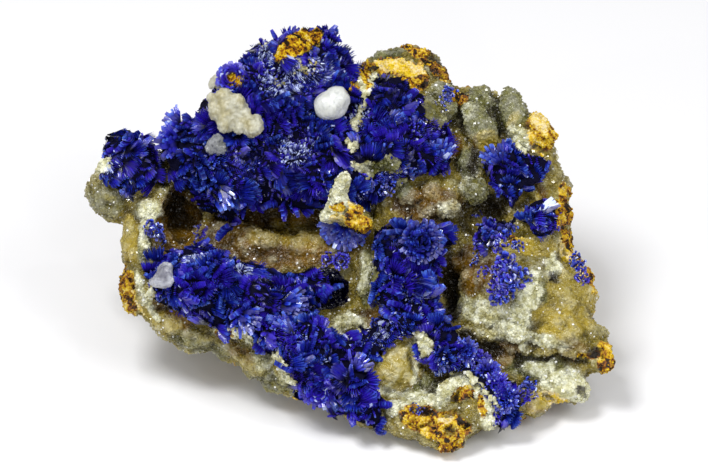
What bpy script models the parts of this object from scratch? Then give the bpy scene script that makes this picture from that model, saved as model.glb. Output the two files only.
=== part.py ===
"""Azurite rosettes on botryoidal smithsonite over a limonite matrix: one hand specimen.

The specimen is laid out in a face frame, in millimetres: u runs right and v up across the
crystal face, and w comes out of it. The face leans back, so that the rock rests on its flat
underside with the azurite looking up and forward.
"""
import math
import random

import bmesh
import bpy
from mathutils import Matrix, Vector
from mathutils.bvhtree import BVHTree

MM = 0.001
SEED = 11

# The face frame: w points this far above the horizon, and the face's middle is this high.
FACE_ELEVATION = math.radians(38.0)
FACE_HEIGHT_MM = 15.1
# The face is a little more level than square to w: it falls back as it rises.
FACE_FALL = -0.20

# Clearance between one mineral's solid and the next.
GAP_MM = 0.42
ROCK_VOXEL_MM = 0.75
CRUST_VOXEL_MM = 0.55
CUTTER_VOXEL_MM = 0.5
SEAT_VOXEL_MM = 0.32
ROCK_TRIANGLES = 4000
# Triangles for each square millimetre of azurite as seen on the face, and for one grain.
CRUST_TRIANGLES = 5.6
GRAIN_TRIANGLES = 110
CLUSTER_TRIANGLES = 220
# Azurite is a low crust of small balls, with rosettes standing out of it.
CRUST_RADIUS_MM = 0.95
CRUST_SPACING_MM = 0.85
ROSETTE_RADIUS_MM = 1.8
ROSETTE_SPACING_MM = 3.2
SMALLEST_BALL_MM = 0.7
# How far a ball may differ from its row's size and place, and reach past its outline.
BALL_SPREAD = 0.15
BALL_JITTER = 0.2
OVERHANG_MM = 0.3
# How far a ball's centre stands off the clearance, as a share of its radius.
CRUST_LIFT = 0.1
ROSETTE_LIFT = 0.55
# And how far a pale crystal's centre stands off the crust, as a share of its height.
CRYSTAL_LIFT = 0.45

# The rock's core is the hull of these: corners on the surface it rests on, as (x, y),
BASE_CORNERS_MM = [
    (-17.5, 7.5), (-8.0, -0.5), (1.5, -7.5), (8.0, -13.0), (11.5, -11.0),
    (19.0, -3.5), (22.5, 2.5), (22.0, 12.0), (13.0, 17.5), (-4.0, 18.5), (-15.0, 15.5),
]
# corners of the broken back, as (x, y, z),
BACK_CORNERS_MM = [
    (-5.0, 19.0, 23.0), (6.0, 20.5, 20.0), (15.0, 17.5, 17.0), (21.5, 12.5, 15.0),
    (-14.0, 15.0, 17.0), (-20.0, 8.5, 12.0), (3.0, 20.0, 7.0), (20.5, 14.0, 6.0),
]
# and corners just under the crystal face, as (u, v, height above the face plane).
FACE_CORNERS_MM = [
    (-20.0, 6.0, -3.6), (-20.5, -5.0, -3.6), (-12.0, 10.0, -3.2), (-6.0, 17.0, -3.0),
    (3.0, 16.5, -3.6), (12.0, 10.5, -4.0), (18.0, 8.0, -4.0), (19.5, 0.0, -3.8),
    (22.5, -8.5, -3.4), (18.0, -13.5, -3.4), (8.0, -18.0, -3.2), (-5.0, -11.0, -3.4),
]


class Lobe:
    """One rounded growth of smithsonite: a turned ellipsoid, placed by its foremost point.

    top is the height of that point above the face plane, and turn is in degrees about w.
    """

    def __init__(self, u, v, top, ru, rv, rw, turn=0.0):
        self.centre = face_point(u, v, top - rw)
        self.radii = Vector((ru, rv, rw)) * MM
        self.turn = math.radians(turn)

    def matrix(self):
        return (
            Matrix.Translation(self.centre)
            @ face_axes()
            @ Matrix.Rotation(self.turn, 4, "Z")
            @ Matrix.Diagonal((*self.radii, 1.0))
        )


def face_axes():
    """The rotation that carries the axes u, v, w to the row's frame."""
    s, c = math.sin(FACE_ELEVATION), math.cos(FACE_ELEVATION)
    return Matrix(((1, 0, 0, 0), (0, s, -c, 0), (0, c, s, 0), (0, 0, 0, 1)))


def face_point(u, v, height):
    """The place, in metres, of a point that stands height above the face plane at (u, v)."""
    w = height + FACE_FALL * v
    return (face_axes() @ Vector((u, v, w)) + Vector((0, 0, FACE_HEIGHT_MM))) * MM


SMITHSONITE_LOBES = {
    "left shoulder": [
        (-24.0, 5.0, 0.0, 3.3, 3.4, 3.0), (-19.8, 3.3, -0.4, 2.6, 2.2, 2.6),
        (-22.5, 8.2, -0.6, 2.8, 3.1, 3.0),
    ],
    "left column": [
        (-21.2, -1.6, -0.5, 2.2, 4.4, 3.0), (-21.0, -5.6, -0.3, 2.6, 2.6, 3.0),
    ],
    "lower left rim": [
        (-16.4, -9.0, -1.2, 3.5, 2.5, 2.6), (-13.0, -9.9, -1.5, 3.0, 1.8, 2.6),
        (-9.6, -12.0, -1.5, 2.6, 2.0, 2.4), (-6.6, -14.0, -1.5, 2.6, 1.8, 2.4),
    ],
    "lower ridge": [
        (-16.0, -4.8, 0.5, 4.6, 3.4, 3.0), (-10.0, -7.4, 0.8, 5.0, 3.0, 3.0, -25),
        (-5.0, -11.0, 0.8, 4.2, 3.4, 3.0), (0.0, -14.6, 0.6, 3.6, 3.2, 3.0),
        (1.2, -16.8, 0.2, 2.6, 2.0, 2.6),
    ],
    "hollow floor": [
        (-7.5, -0.8, -2.4, 9.0, 3.4, 3.4), (1.5, 0.4, -2.6, 4.0, 3.0, 3.0),
    ],
    "upper mass": [
        (-8.0, 12.8, 1.0, 7.0, 6.4, 5.0), (-13.0, 8.2, 0.6, 6.4, 4.2, 4.5),
        (-5.0, 6.8, 1.2, 8.0, 4.0, 4.5), (-4.8, 17.6, 0.2, 3.9, 3.6, 4.0),
        (3.5, 9.8, 0.5, 6.0, 5.4, 4.5), (-9.0, 17.2, -1.0, 2.2, 2.4, 3.0),
    ],
    "right cushion": [
        (7.2, 3.9, -0.3, 4.6, 2.6, 3.0), (11.3, 6.8, -1.6, 2.4, 2.2, 2.6),
    ],
    "middle column": [
        (5.5, -2.6, 0.8, 3.6, 4.8, 4.0), (5.2, -7.5, 0.3, 3.6, 3.2, 3.0),
        (10.2, -10.8, 0.4, 4.0, 2.4, 3.0, -28), (13.9, -15.4, 0.2, 2.4, 3.6, 3.0, 15),
    ],
    "pale window": [
        (4.6, -12.2, 0.0, 2.8, 2.9, 2.8), (7.2, -14.0, -1.4, 1.9, 2.3, 2.4),
    ],
    "back ridge": [
        (5.4, 16.8, -3.4, 4.4, 3.2, 4.2), (8.2, 15.4, -3.6, 2.0, 2.6, 3.0),
        (9.0, 13.8, -1.6, 1.6, 2.4, 2.4), (2.8, 18.2, -4.0, 2.2, 1.4, 2.5),
    ],
    "right shoulder": [
        (13.2, 13.4, -3.4, 2.8, 2.1, 2.8), (12.7, 11.4, -1.2, 1.6, 2.8, 2.2, 38),
        (15.9, 12.6, -1.8, 1.6, 2.9, 2.2, 4), (16.8, 9.8, -2.0, 2.6, 2.0, 2.4),
    ],
    "right edge": [
        (19.5, 5.6, -1.8, 2.4, 3.2, 3.0), (20.1, 0.8, -0.8, 2.3, 4.6, 3.4),
    ],
    "right dome": [
        (16.3, -5.6, 2.0, 6.2, 5.6, 5.0), (20.6, -6.6, 1.0, 4.4, 5.2, 4.6),
        (17.0, -1.5, 0.2, 4.0, 2.8, 3.4), (22.6, -10.0, 0.2, 3.2, 2.0, 3.4),
        (19.0, -9.9, 0.6, 5.0, 1.8, 3.0, -12),
    ],
    "lower ledge": [
        (19.6, -13.6, -1.0, 3.9, 1.7, 2.4), (21.4, -14.8, -1.2, 2.2, 1.7, 2.2),
        (17.8, -16.2, -0.8, 2.2, 2.0, 2.4), (15.0, -11.6, -1.4, 1.7, 1.6, 2.2),
    ],
}

# Hollows and clefts cut back into the rock, as lobes whose material is taken away.
HOLLOWS = {
    "left pocket": (-17.6, 2.6, 0.6, 1.5, 3.4, 4.4),
    "under the overhang": (-8.0, 2.4, -0.4, 8.0, 1.3, 3.4),
    "right cleft": (10.0, -3.4, 2.4, 1.0, 5.6, 4.6, -4),
    "right recess": (13.6, 2.8, 0.6, 2.4, 2.0, 3.6),
    "dark pocket": (-2.0, -5.0, 1.2, 1.9, 1.6, 3.6),
    "ring pocket": (-1.2, -7.4, 0.6, 1.2, 1.0, 2.4),
    "ledge cleft": (13.6, -10.9, 1.4, 4.2, 0.8, 3.2, -22),
    "shoulder notch": (-19.9, 9.2, 1.6, 1.0, 2.2, 3.2),
    "dark pit": (0.0, 8.6, 2.6, 0.9, 0.9, 2.4),
}

# Broken corners that show the limonite: outline on the face, height of the break, and depth.
BROKEN_BLOCKS = {
    "bottom tip": (
        [(4.0, -16.0), (7.6, -15.8), (10.0, -13.9), (12.4, -13.9), (14.0, -16.6),
         (13.8, -18.6), (11.6, -19.4), (10.8, -20.8), (9.4, -21.4), (7.4, -20.6), (3.6, -19.0)],
        0.9, 6.0,
    ),
    "right shoulder corner": (
        [(17.0, 13.0), (19.2, 12.6), (20.0, 12.0), (20.0, 8.4), (17.8, 9.8)], -0.9, 5.0,
    ),
    "low right corner": (
        [(23.4, -9.8), (25.8, -10.6), (26.2, -11.6), (25.9, -13.4), (23.6, -13.0)], -0.6, 3.6,
    ),
    "low left corner": (
        [(-23.4, -3.0), (-21.4, -3.2), (-20.2, -9.0), (-21.4, -8.0), (-23.4, -6.8)], -0.8, 4.4,
    ),
    "back ridge break": (
        [(1.6, 17.8), (7.4, 17.6), (8.4, 15.4), (6.0, 15.2), (4.0, 15.8)], -2.0, 4.0,
    ),
}

# Where azurite covers the rock, as outlines on the face.
AZURITE_PATCHES = {
    "azurite_left_knob": [
        (-25.2, 5.9), (-25.3, 8.6), (-24.4, 10.4), (-23.4, 11.4), (-21.8, 11.6), (-21.0, 10.2),
        (-20.0, 8.6), (-19.0, 6.2), (-20.8, 5.2), (-22.6, 3.8), (-24.0, 4.8),
    ],
    "azurite_crown": [
        (-19.4, 6.6), (-19.9, 9.4), (-20.0, 12.0), (-18.8, 12.6), (-16.4, 12.2), (-15.9, 13.6),
        (-14.6, 14.4), (-13.6, 15.2), (-13.4, 16.9), (-12.2, 17.7), (-10.8, 17.9),
        (-10.4, 19.8), (-8.8, 20.8), (-7.4, 21.6), (-5.6, 22.2), (-3.6, 22.2), (-2.2, 21.3),
        (-1.0, 19.6), (0.6, 18.6), (1.8, 16.8), (3.8, 16.4), (5.6, 16.4), (6.6, 14.7),
        (8.2, 14.2), (8.8, 12.4), (10.2, 10.8), (9.7, 8.6), (10.2, 7.2), (8.8, 6.1),
        (6.2, 6.1), (4.6, 5.2), (3.0, 4.8), (2.4, 3.4), (-0.4, 4.0), (-2.6, 3.6),
        (-3.6, 2.2), (-4.6, 1.5), (-7.0, 1.6), (-9.2, 2.2), (-11.4, 3.2), (-12.0, 1.6),
        (-12.9, 0.0), (-13.4, 2.2), (-14.6, 2.2), (-16.2, 3.6), (-16.8, 5.6),
    ],
    "azurite_lower_crust": [
        (-20.7, -1.0), (-19.0, -1.4), (-17.0, -0.6), (-15.0, -0.1), (-13.0, -1.2),
        (-11.6, -2.3), (-9.4, -1.9), (-8.4, -3.2), (-6.6, -3.2), (-4.4, -2.7), (-2.0, -3.6),
        (-1.8, -5.4), (-3.2, -6.8), (-2.4, -9.0), (-0.4, -9.5), (1.2, -8.5), (3.4, -7.6),
        (3.2, -6.8), (1.5, -6.4), (1.8, -3.2), (2.2, 1.0), (4.2, 2.0), (9.2, 1.8), (9.5, -0.4),
        (8.5, -3.0), (8.0, -6.2), (9.2, -8.0), (10.8, -9.2), (11.2, -10.9), (13.1, -11.3),
        (14.0, -12.6), (15.4, -14.0), (16.6, -15.0), (16.6, -17.2), (15.3, -19.0),
        (13.4, -18.9), (14.6, -17.4), (13.8, -15.8), (12.2, -14.4), (10.6, -13.3),
        (7.9, -13.7), (7.2, -12.3), (6.6, -10.0), (5.0, -9.6), (3.4, -11.3), (1.7, -11.4),
        (1.8, -13.6), (3.2, -16.2), (3.3, -19.3), (1.2, -18.4), (-2.8, -16.9), (-4.4, -16.8),
        (-6.1, -15.2), (-6.4, -13.6), (-8.2, -11.4), (-9.6, -9.8), (-12.2, -9.3),
        (-14.8, -8.3), (-16.8, -7.8), (-18.8, -6.8), (-20.8, -5.2),
    ],
    "azurite_cup": [
        (-3.4, 1.6), (-2.9, 0.2), (-1.6, -0.6), (0.2, -0.7), (1.6, 0.1), (2.3, 1.6),
        (2.2, 3.0), (1.5, 1.4), (0.6, 0.3), (-0.8, 0.7), (-1.8, 1.7),
    ],
    "azurite_ring": [
        (-2.2, -2.0), (-1.8, -1.3), (-0.9, -1.2), (-0.3, -1.9), (-0.6, -2.7), (-1.6, -2.8),
    ],
    "azurite_pocket_spray": [
        (-17.0, 0.8), (-16.2, 1.9), (-14.8, 1.9), (-14.3, 0.8), (-15.4, 0.3),
    ],
    "azurite_side_spray": [
        (-20.9, 1.7), (-19.9, 1.7), (-19.1, 0.7), (-19.4, 0.0), (-20.6, 0.7),
    ],
    "azurite_right_cluster": [
        (12.3, 6.6), (12.8, 8.8), (14.2, 9.9), (15.9, 9.8), (17.0, 8.7), (18.6, 8.9),
        (20.0, 8.1), (19.9, 7.1), (19.3, 5.8), (18.0, 5.2), (16.8, 5.4), (16.6, 3.4),
        (16.0, 2.6), (14.9, 4.2), (13.4, 5.8),
    ],
    "azurite_right_rosette": [
        (16.6, 2.0), (17.6, 3.5), (19.6, 4.3), (20.9, 3.4), (20.3, 1.2), (19.4, -0.5),
        (18.0, -0.4), (17.2, 1.0),
    ],
    "azurite_cleft_spray": [
        (11.5, 2.3), (11.8, 3.5), (12.9, 3.5), (13.0, 2.3), (12.2, 1.8),
    ],
    "azurite_cleft_trail": [
        (12.4, 1.4), (14.2, 1.9), (15.6, 1.6), (14.3, 0.4), (14.3, -0.6), (13.2, -2.0),
        (12.1, -1.2), (11.9, 0.2),
    ],
    "azurite_dome_patch": [
        (14.3, -1.4), (15.8, -1.6), (15.9, -2.8), (16.5, -3.8), (16.2, -5.0), (14.9, -6.2),
        (13.9, -6.2), (13.5, -4.2), (14.2, -2.8),
    ],
    "azurite_rim_patch": [(21.2, -2.0), (21.9, -2.2), (23.0, -4.0), (22.2, -4.3), (21.3, -3.2)],
    "azurite_ledge_spray": [(17.8, -14.7), (18.4, -15.0), (17.9, -16.2), (17.1, -16.4)],
}

# Pale crystals that stand on the azurite, each as the lobes that grew together into it.
# A lobe is its (u, v), its radii across, up and out of the face, and its turn in degrees.
PALE_CRYSTALS = {
    "calcite_bead": [(-2.4, 13.4, 2.0, 1.7, 1.5, 15)],
    "calcite_cluster": [
        (-12.9, 13.1, 1.8, 1.7, 1.5, -20), (-11.2, 12.2, 1.8, 1.6, 1.5, -35),
        (-12.5, 11.4, 1.5, 1.0, 1.2, 0), (-10.0, 11.2, 1.2, 1.1, 1.1, 20),
    ],
    "calcite_bud": [(-13.9, 15.6, 0.9, 1.2, 1.0, 10)],
    "calcite_grain": [(-13.6, 9.9, 0.9, 0.9, 1.0, 20), (-14.4, 9.1, 0.9, 0.8, 0.9, 40)],
    "calcite_tooth": [(-18.6, -3.0, 1.0, 1.0, 1.2, 20), (-19.0, -4.1, 1.7, 0.9, 1.2, 8)],
}
# Knobs of smithsonite that stand free of the crust, written the same way.
SMITHSONITE_KNOBS = {"smithsonite_ball": [(12.0, 5.0, 1.5, 1.5, 1.5, 0)]}
# A flake of limonite that caps the azurite, as its outline on the face.
LIMONITE_FLAKE = [
    (-1.6, 6.6), (-0.4, 6.9), (-0.6, 4.2), (0.1, 3.4), (1.3, 2.9), (1.8, 1.5), (1.2, 0.5),
    (0.3, 0.5), (-1.2, 1.8), (-3.4, 1.9), (-3.6, 2.4), (-2.5, 3.6), (-2.2, 5.2),
]
# Its front's height where v is nothing, its thickness and how it climbs with v.
FLAKE_TOP_MM = 0.1
FLAKE_THICKNESS_MM = 2.4
FLAKE_RISE = 0.62

# How far below the ground the rock starts before it is cut flat.
ROCK_FOOT_MM = 3.0
# The rock's rough relief: the size of its lumps, and its height.
RELIEF_SIZE_MM = 3.2
RELIEF_HEIGHT_MM = 1.5
# Corners closer than this are one; a ray that looks for the rock starts this far in front.
MERGE_MM = 0.02
RAY_START_MM = 30.0
# The block of space above the ground, which is far larger than the rock.
ABOVE_GROUND_MM = 200.0
SHARP_ANGLE = math.radians(35)

# Each mineral's colour and roughness.
AZURITE_LOOK = ((0.02, 0.03, 0.42), 0.25)
SMITHSONITE_LOOK = ((0.42, 0.36, 0.20), 0.4)
CALCITE_LOOK = ((0.78, 0.78, 0.72), 0.3)
LIMONITE_LOOK = ((0.62, 0.34, 0.05), 0.9)


def clear_scene():
    """Empties the scene."""
    for obj in list(bpy.data.objects):
        bpy.data.objects.remove(obj)


def material(name, colour, roughness):
    """A plain material for one mineral."""
    made = bpy.data.materials.new(name)
    made.use_nodes = True
    shader = made.node_tree.nodes["Principled BSDF"]
    shader.inputs["Base Color"].default_value = (*colour, 1.0)
    shader.inputs["Roughness"].default_value = roughness
    shader.inputs["Metallic"].default_value = 0.0
    return made


def link(name, mesh):
    """A linked object that holds the mesh."""
    obj = bpy.data.objects.new(name, mesh)
    bpy.context.scene.collection.objects.link(obj)
    return obj


def from_bmesh(name, bm):
    """A linked object holding the bmesh, which is freed."""
    mesh = bpy.data.meshes.new(name)
    bmesh.ops.recalc_face_normals(bm, faces=bm.faces)
    bm.to_mesh(mesh)
    bm.free()
    return link(name, mesh)


def bake(obj):
    """Replaces the object's mesh by its evaluated one and drops its modifiers."""
    bpy.context.view_layer.update()
    graph = bpy.context.evaluated_depsgraph_get()
    mesh = bpy.data.meshes.new_from_object(obj.evaluated_get(graph))
    obj.modifiers.clear()
    obj.data = mesh
    return obj


def add_ellipsoids(bm, matrices, divisions=3):
    """Adds one ball, carried by each matrix in turn, to bm."""
    ball = bmesh.new()
    bmesh.ops.create_icosphere(ball, subdivisions=divisions, radius=1.0)
    corners = [vert.co.copy() for vert in ball.verts]
    sides = [[vert.index for vert in face.verts] for face in ball.faces]
    ball.free()
    for matrix in matrices:
        verts = [bm.verts.new(matrix @ corner) for corner in corners]
        for side in sides:
            bm.faces.new([verts[i] for i in side])


def add_hull(bm, points):
    """Adds the convex hull of points to bm."""
    verts = [bm.verts.new(p) for p in points]
    made = bmesh.ops.convex_hull(bm, input=verts)
    spare = {e for key in ("geom_interior", "geom_unused") for e in made[key]}
    bmesh.ops.delete(
        bm, geom=[v for v in spare if isinstance(v, bmesh.types.BMVert)], context="VERTS"
    )


def add_prism(bm, outline, top, depth, rise=0.0):
    """Adds a block whose front follows outline, top above the face plane, and is depth thick.

    rise is how much higher the front stands for each millimetre of v.
    """
    front = [bm.verts.new(face_point(u, v, top + rise * v)) for u, v in outline]
    back = [bm.verts.new(face_point(u, v, top + rise * v - depth)) for u, v in outline]
    count = len(outline)
    bm.faces.new(front)
    bm.faces.new(back[::-1])
    for i in range(count):
        j = (i + 1) % count
        bm.faces.new((front[j], front[i], back[i], back[j]))


def remesh(obj, voxel_mm, smoothing):
    """Joins everything in obj into one skin of even voxels, and rounds it off."""
    cells = obj.modifiers.new("skin", "REMESH")
    cells.mode = "VOXEL"
    cells.voxel_size = voxel_mm * MM
    rounded = obj.modifiers.new("round off", "SMOOTH")
    rounded.factor = 0.5
    rounded.iterations = smoothing
    return bake(obj)


def roughen(obj, size_mm, strength_mm):
    """Moves the skin in and out with a cloudy relief of that size."""
    relief = bpy.data.textures.new(obj.name + " relief", "CLOUDS")
    relief.noise_scale = size_mm * MM
    relief.noise_depth = 2
    push = obj.modifiers.new("relief", "DISPLACE")
    push.texture = relief
    push.texture_coords = "LOCAL"
    push.strength = strength_mm * MM
    push.mid_level = 0.5
    return bake(obj)


def combine(obj, other, operation):
    """Cuts other from obj, or joins or intersects the two."""
    cut = obj.modifiers.new("combine", "BOOLEAN")
    cut.operation = operation
    cut.solver = "EXACT"
    cut.object = other
    return bake(obj)


def thin_out(obj, triangles):
    """Decimates the mesh to about that many triangles."""
    bm = bmesh.new()
    bm.from_mesh(obj.data)
    bmesh.ops.triangulate(bm, faces=bm.faces)
    bm.to_mesh(obj.data)
    now = len(bm.faces)
    bm.free()
    if now <= triangles:
        return obj
    fewer = obj.modifiers.new("thin out", "DECIMATE")
    fewer.ratio = triangles / now
    return bake(obj)


def islands(bm):
    """The separate bodies in bm, each as a list of its vertices."""
    left = set(bm.verts)
    found = []
    while left:
        first = left.pop()
        body, edge = [first], [first]
        while edge:
            for e in edge.pop().link_edges:
                for vert in e.verts:
                    if vert in left:
                        left.remove(vert)
                        body.append(vert)
                        edge.append(vert)
        found.append(body)
    return found


def keep_largest(obj):
    """Drops every body of obj but the one with the most vertices."""
    bm = bmesh.new()
    bm.from_mesh(obj.data)
    bmesh.ops.triangulate(bm, faces=bm.faces)
    bmesh.ops.remove_doubles(bm, verts=bm.verts, dist=MERGE_MM * MM)
    bodies = sorted(islands(bm), key=len)
    for body in bodies[:-1]:
        bmesh.ops.delete(bm, geom=body, context="VERTS")
    bm.to_mesh(obj.data)
    bm.free()
    return obj


def swell_into(taken, obj, by_mm):
    """Adds a copy of obj, grown outwards by by_mm, to the hidden mesh of all space taken."""
    grown = link("grown", obj.data.copy())
    grow = grown.modifiers.new("grow", "DISPLACE")
    grow.strength = by_mm * MM
    grow.mid_level = 0.0
    bake(grown)
    bm = bmesh.new()
    bm.from_mesh(taken.data)
    bm.from_mesh(grown.data)
    bm.to_mesh(taken.data)
    bm.free()
    bpy.data.objects.remove(grown)


def surface_of(objects):
    """One search tree over the skins of several objects."""
    bm = bmesh.new()
    for obj in objects:
        bm.from_mesh(obj.data)
    tree = BVHTree.FromBMesh(bm)
    bm.free()
    return tree


def onto(tree, u, v):
    """The foremost point of the rock at (u, v) on the face, or the nearest one past its edge."""
    out = (face_axes() @ Vector((0, 0, 1))).normalized()
    hit = tree.ray_cast(face_point(u, v, RAY_START_MM), -out)[0]
    return hit or tree.find_nearest(face_point(u, v, 0.0))[0]


def inside(outline, u, v):
    """Whether (u, v) lies inside the outline."""
    crossings = 0
    for (u0, v0), (u1, v1) in zip(outline, outline[1:] + outline[:1]):
        if (v0 > v) != (v1 > v) and u < u0 + (v - v0) * (u1 - u0) / (v1 - v0):
            crossings += 1
    return crossings % 2 == 1


def edge_distance(outline, u, v):
    """How far (u, v) is from the nearest stretch of the outline."""
    here = Vector((u, v))
    nearest = math.inf
    for start, end in zip(outline, outline[1:] + outline[:1]):
        start, end = Vector(start), Vector(end)
        run = end - start
        along = min(max((here - start).dot(run) / run.length_squared, 0.0), 1.0)
        nearest = min(nearest, (start + run * along - here).length)
    return nearest


def area(outline):
    """The area inside the outline."""
    pairs = zip(outline, outline[1:] + outline[:1])
    return abs(sum(u0 * v1 - u1 * v0 for (u0, v0), (u1, v1) in pairs)) / 2


def build_rock():
    """The limonite core with its smithsonite crust, cut flat where it rests."""
    bm = bmesh.new()
    base = [Vector((x, y, -ROCK_FOOT_MM)) * MM for x, y in BASE_CORNERS_MM]
    back = [Vector(p) * MM for p in BACK_CORNERS_MM]
    face = [face_point(*p) for p in FACE_CORNERS_MM]
    add_hull(bm, base + back + face)
    for lobes in SMITHSONITE_LOBES.values():
        add_ellipsoids(bm, [Lobe(*lobe).matrix() for lobe in lobes])
    for outline, top, depth in BROKEN_BLOCKS.values():
        add_prism(bm, outline, top, depth)
    rock = remesh(from_bmesh("smithsonite_matrix", bm), ROCK_VOXEL_MM, 3)

    bm = bmesh.new()
    add_ellipsoids(bm, [Lobe(*hollow).matrix() for hollow in HOLLOWS.values()])
    hollows = remesh(from_bmesh("hollows", bm), ROCK_VOXEL_MM, 2)
    rock = combine(rock, hollows, "DIFFERENCE")
    bpy.data.objects.remove(hollows)
    rock = remesh(rock, ROCK_VOXEL_MM, 2)
    rock = roughen(rock, RELIEF_SIZE_MM, RELIEF_HEIGHT_MM)
    rock = thin_out(rock, ROCK_TRIANGLES)

    bm = bmesh.new()
    side = ABOVE_GROUND_MM * MM
    bmesh.ops.create_cube(bm, size=side, matrix=Matrix.Translation((0, 0, side / 2)))
    above_ground = from_bmesh("above_ground", bm)
    rock = combine(rock, above_ground, "INTERSECT")
    bpy.data.objects.remove(above_ground)
    return keep_largest(rock)


def spots(outline, spacing, rng):
    """Places inside the outline, on a triangular grid that is jittered a little."""
    us, vs = [p[0] for p in outline], [p[1] for p in outline]
    row_height = spacing * math.sqrt(3) / 2
    rows = int((max(vs) - min(vs)) / row_height) + 1
    columns = int((max(us) - min(us)) / spacing) + 2
    for row in range(rows + 1):
        for column in range(columns):
            aside, upward = (rng.uniform(-BALL_JITTER, BALL_JITTER) for _ in range(2))
            u = min(us) + (column + 0.5 * (row % 2) + aside) * spacing
            v = min(vs) + row * row_height + upward * spacing
            if inside(outline, u, v):
                yield u, v


def crust_balls(outline, rock_tree, rng):
    """The balls whose union is the azurite inside outline: a low crust and its rosettes."""
    kinds = (
        (CRUST_SPACING_MM, CRUST_RADIUS_MM, CRUST_LIFT),
        (ROSETTE_SPACING_MM, ROSETTE_RADIUS_MM, ROSETTE_LIFT),
    )
    for spacing, largest, lift in kinds:
        for u, v in spots(outline, spacing, rng):
            at = onto(rock_tree, u, v)
            wanted = largest * rng.uniform(1 - BALL_SPREAD, 1 + BALL_SPREAD)
            radius = min(wanted, edge_distance(outline, u, v) + OVERHANG_MM)
            radius = max(radius, SMALLEST_BALL_MM)
            out = face_axes() @ Vector((0, 0, (radius * lift + GAP_MM) * MM))
            yield Matrix.Translation(at + out) @ Matrix.Scale(radius * MM, 4)


def seat(obj, taken, triangles):
    """Cuts obj clear of all space taken and leaves it as one plain skin."""
    cutter = remesh(link("clearance", taken.data.copy()), CUTTER_VOXEL_MM, 0)
    obj = combine(obj, cutter, "DIFFERENCE")
    bpy.data.objects.remove(cutter)
    return thin_out(keep_largest(remesh(obj, SEAT_VOXEL_MM, 0)), triangles)


def build_azurite(name, outline, rock_tree, taken, rng):
    """One crust of grown-together rosettes, lying on the rock inside its outline."""
    bm = bmesh.new()
    add_ellipsoids(bm, crust_balls(outline, rock_tree, rng), divisions=2)
    crust = remesh(from_bmesh(name, bm), CRUST_VOXEL_MM, 1)
    return seat(crust, taken, max(GRAIN_TRIANGLES, int(area(outline) * CRUST_TRIANGLES)))


def build_grain(name, lobes, tree, taken, divisions):
    """One pale crystal or knob: the union of its lobes, seated on what is under it."""
    bm = bmesh.new()
    matrices = []
    for u, v, ru, rv, rw, turn in lobes:
        at = onto(tree, u, v) + face_axes() @ Vector((0, 0, CRYSTAL_LIFT * rw * MM))
        turned = face_axes() @ Matrix.Rotation(math.radians(turn), 4, "Z")
        size = Matrix.Diagonal((ru * MM, rv * MM, rw * MM, 1.0))
        matrices.append(Matrix.Translation(at) @ turned @ size)
    add_ellipsoids(bm, matrices, divisions)
    grain = remesh(from_bmesh(name, bm), SEAT_VOXEL_MM, 1)
    return seat(grain, taken, GRAIN_TRIANGLES if len(lobes) < 3 else CLUSTER_TRIANGLES)


def main():
    """Builds the matrix, then the knobs, crusts and crystals that stand on it."""
    clear_scene()
    rng = random.Random(SEED)
    azurite = material("azurite", *AZURITE_LOOK)
    smithsonite = material("smithsonite", *SMITHSONITE_LOOK)
    calcite = material("calcite", *CALCITE_LOOK)
    limonite = material("limonite", *LIMONITE_LOOK)

    rock = build_rock()
    rock.data.materials.clear()
    rock.data.materials.append(smithsonite)
    rock_tree = surface_of([rock])
    placed = [rock]
    # Every piece is cut clear of the space that the pieces before it take up.
    taken = link("space_taken", bpy.data.meshes.new("space_taken"))
    taken.hide_render = True
    taken.display_type = "WIRE"
    swell_into(taken, rock, GAP_MM)

    def settle(obj, finish):
        """Gives obj its finish and keeps later pieces clear of it."""
        obj.data.materials.clear()
        obj.data.materials.append(finish)
        placed.append(obj)
        swell_into(taken, obj, GAP_MM)

    for name, lobes in SMITHSONITE_KNOBS.items():
        settle(build_grain(name, lobes, rock_tree, taken, 3), smithsonite)
    for name, outline in AZURITE_PATCHES.items():
        settle(build_azurite(name, outline, rock_tree, taken, rng), azurite)
    crust_tree = surface_of(placed)
    for name, lobes in PALE_CRYSTALS.items():
        settle(build_grain(name, lobes, crust_tree, taken, 2), calcite)

    bm = bmesh.new()
    add_prism(bm, LIMONITE_FLAKE, FLAKE_TOP_MM, FLAKE_THICKNESS_MM, FLAKE_RISE)
    flake = remesh(from_bmesh("limonite_flake", bm), CRUST_VOXEL_MM, 2)
    settle(seat(flake, taken, CLUSTER_TRIANGLES), limonite)

    bpy.data.objects.remove(taken)
    for obj in placed:
        obj.data.shade_smooth()
        obj.data.set_sharp_from_angle(angle=SHARP_ANGLE)


if __name__ == "__main__":
    main()
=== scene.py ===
"""The looks of the specimen: druzy smithsonite over limonite, with azurite rosettes in blades.

Positions are written in a face frame, in millimetres: u runs right and v up across the crystal
face as the camera sees it, and w comes out of it towards the camera.
"""

import logging
import math
from collections.abc import Mapping, Sequence
from dataclasses import dataclass, field
from enum import Enum

import bpy
import numpy as np
from mathutils import Matrix, Vector, noise
from mathutils.bvhtree import BVHTree


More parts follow.
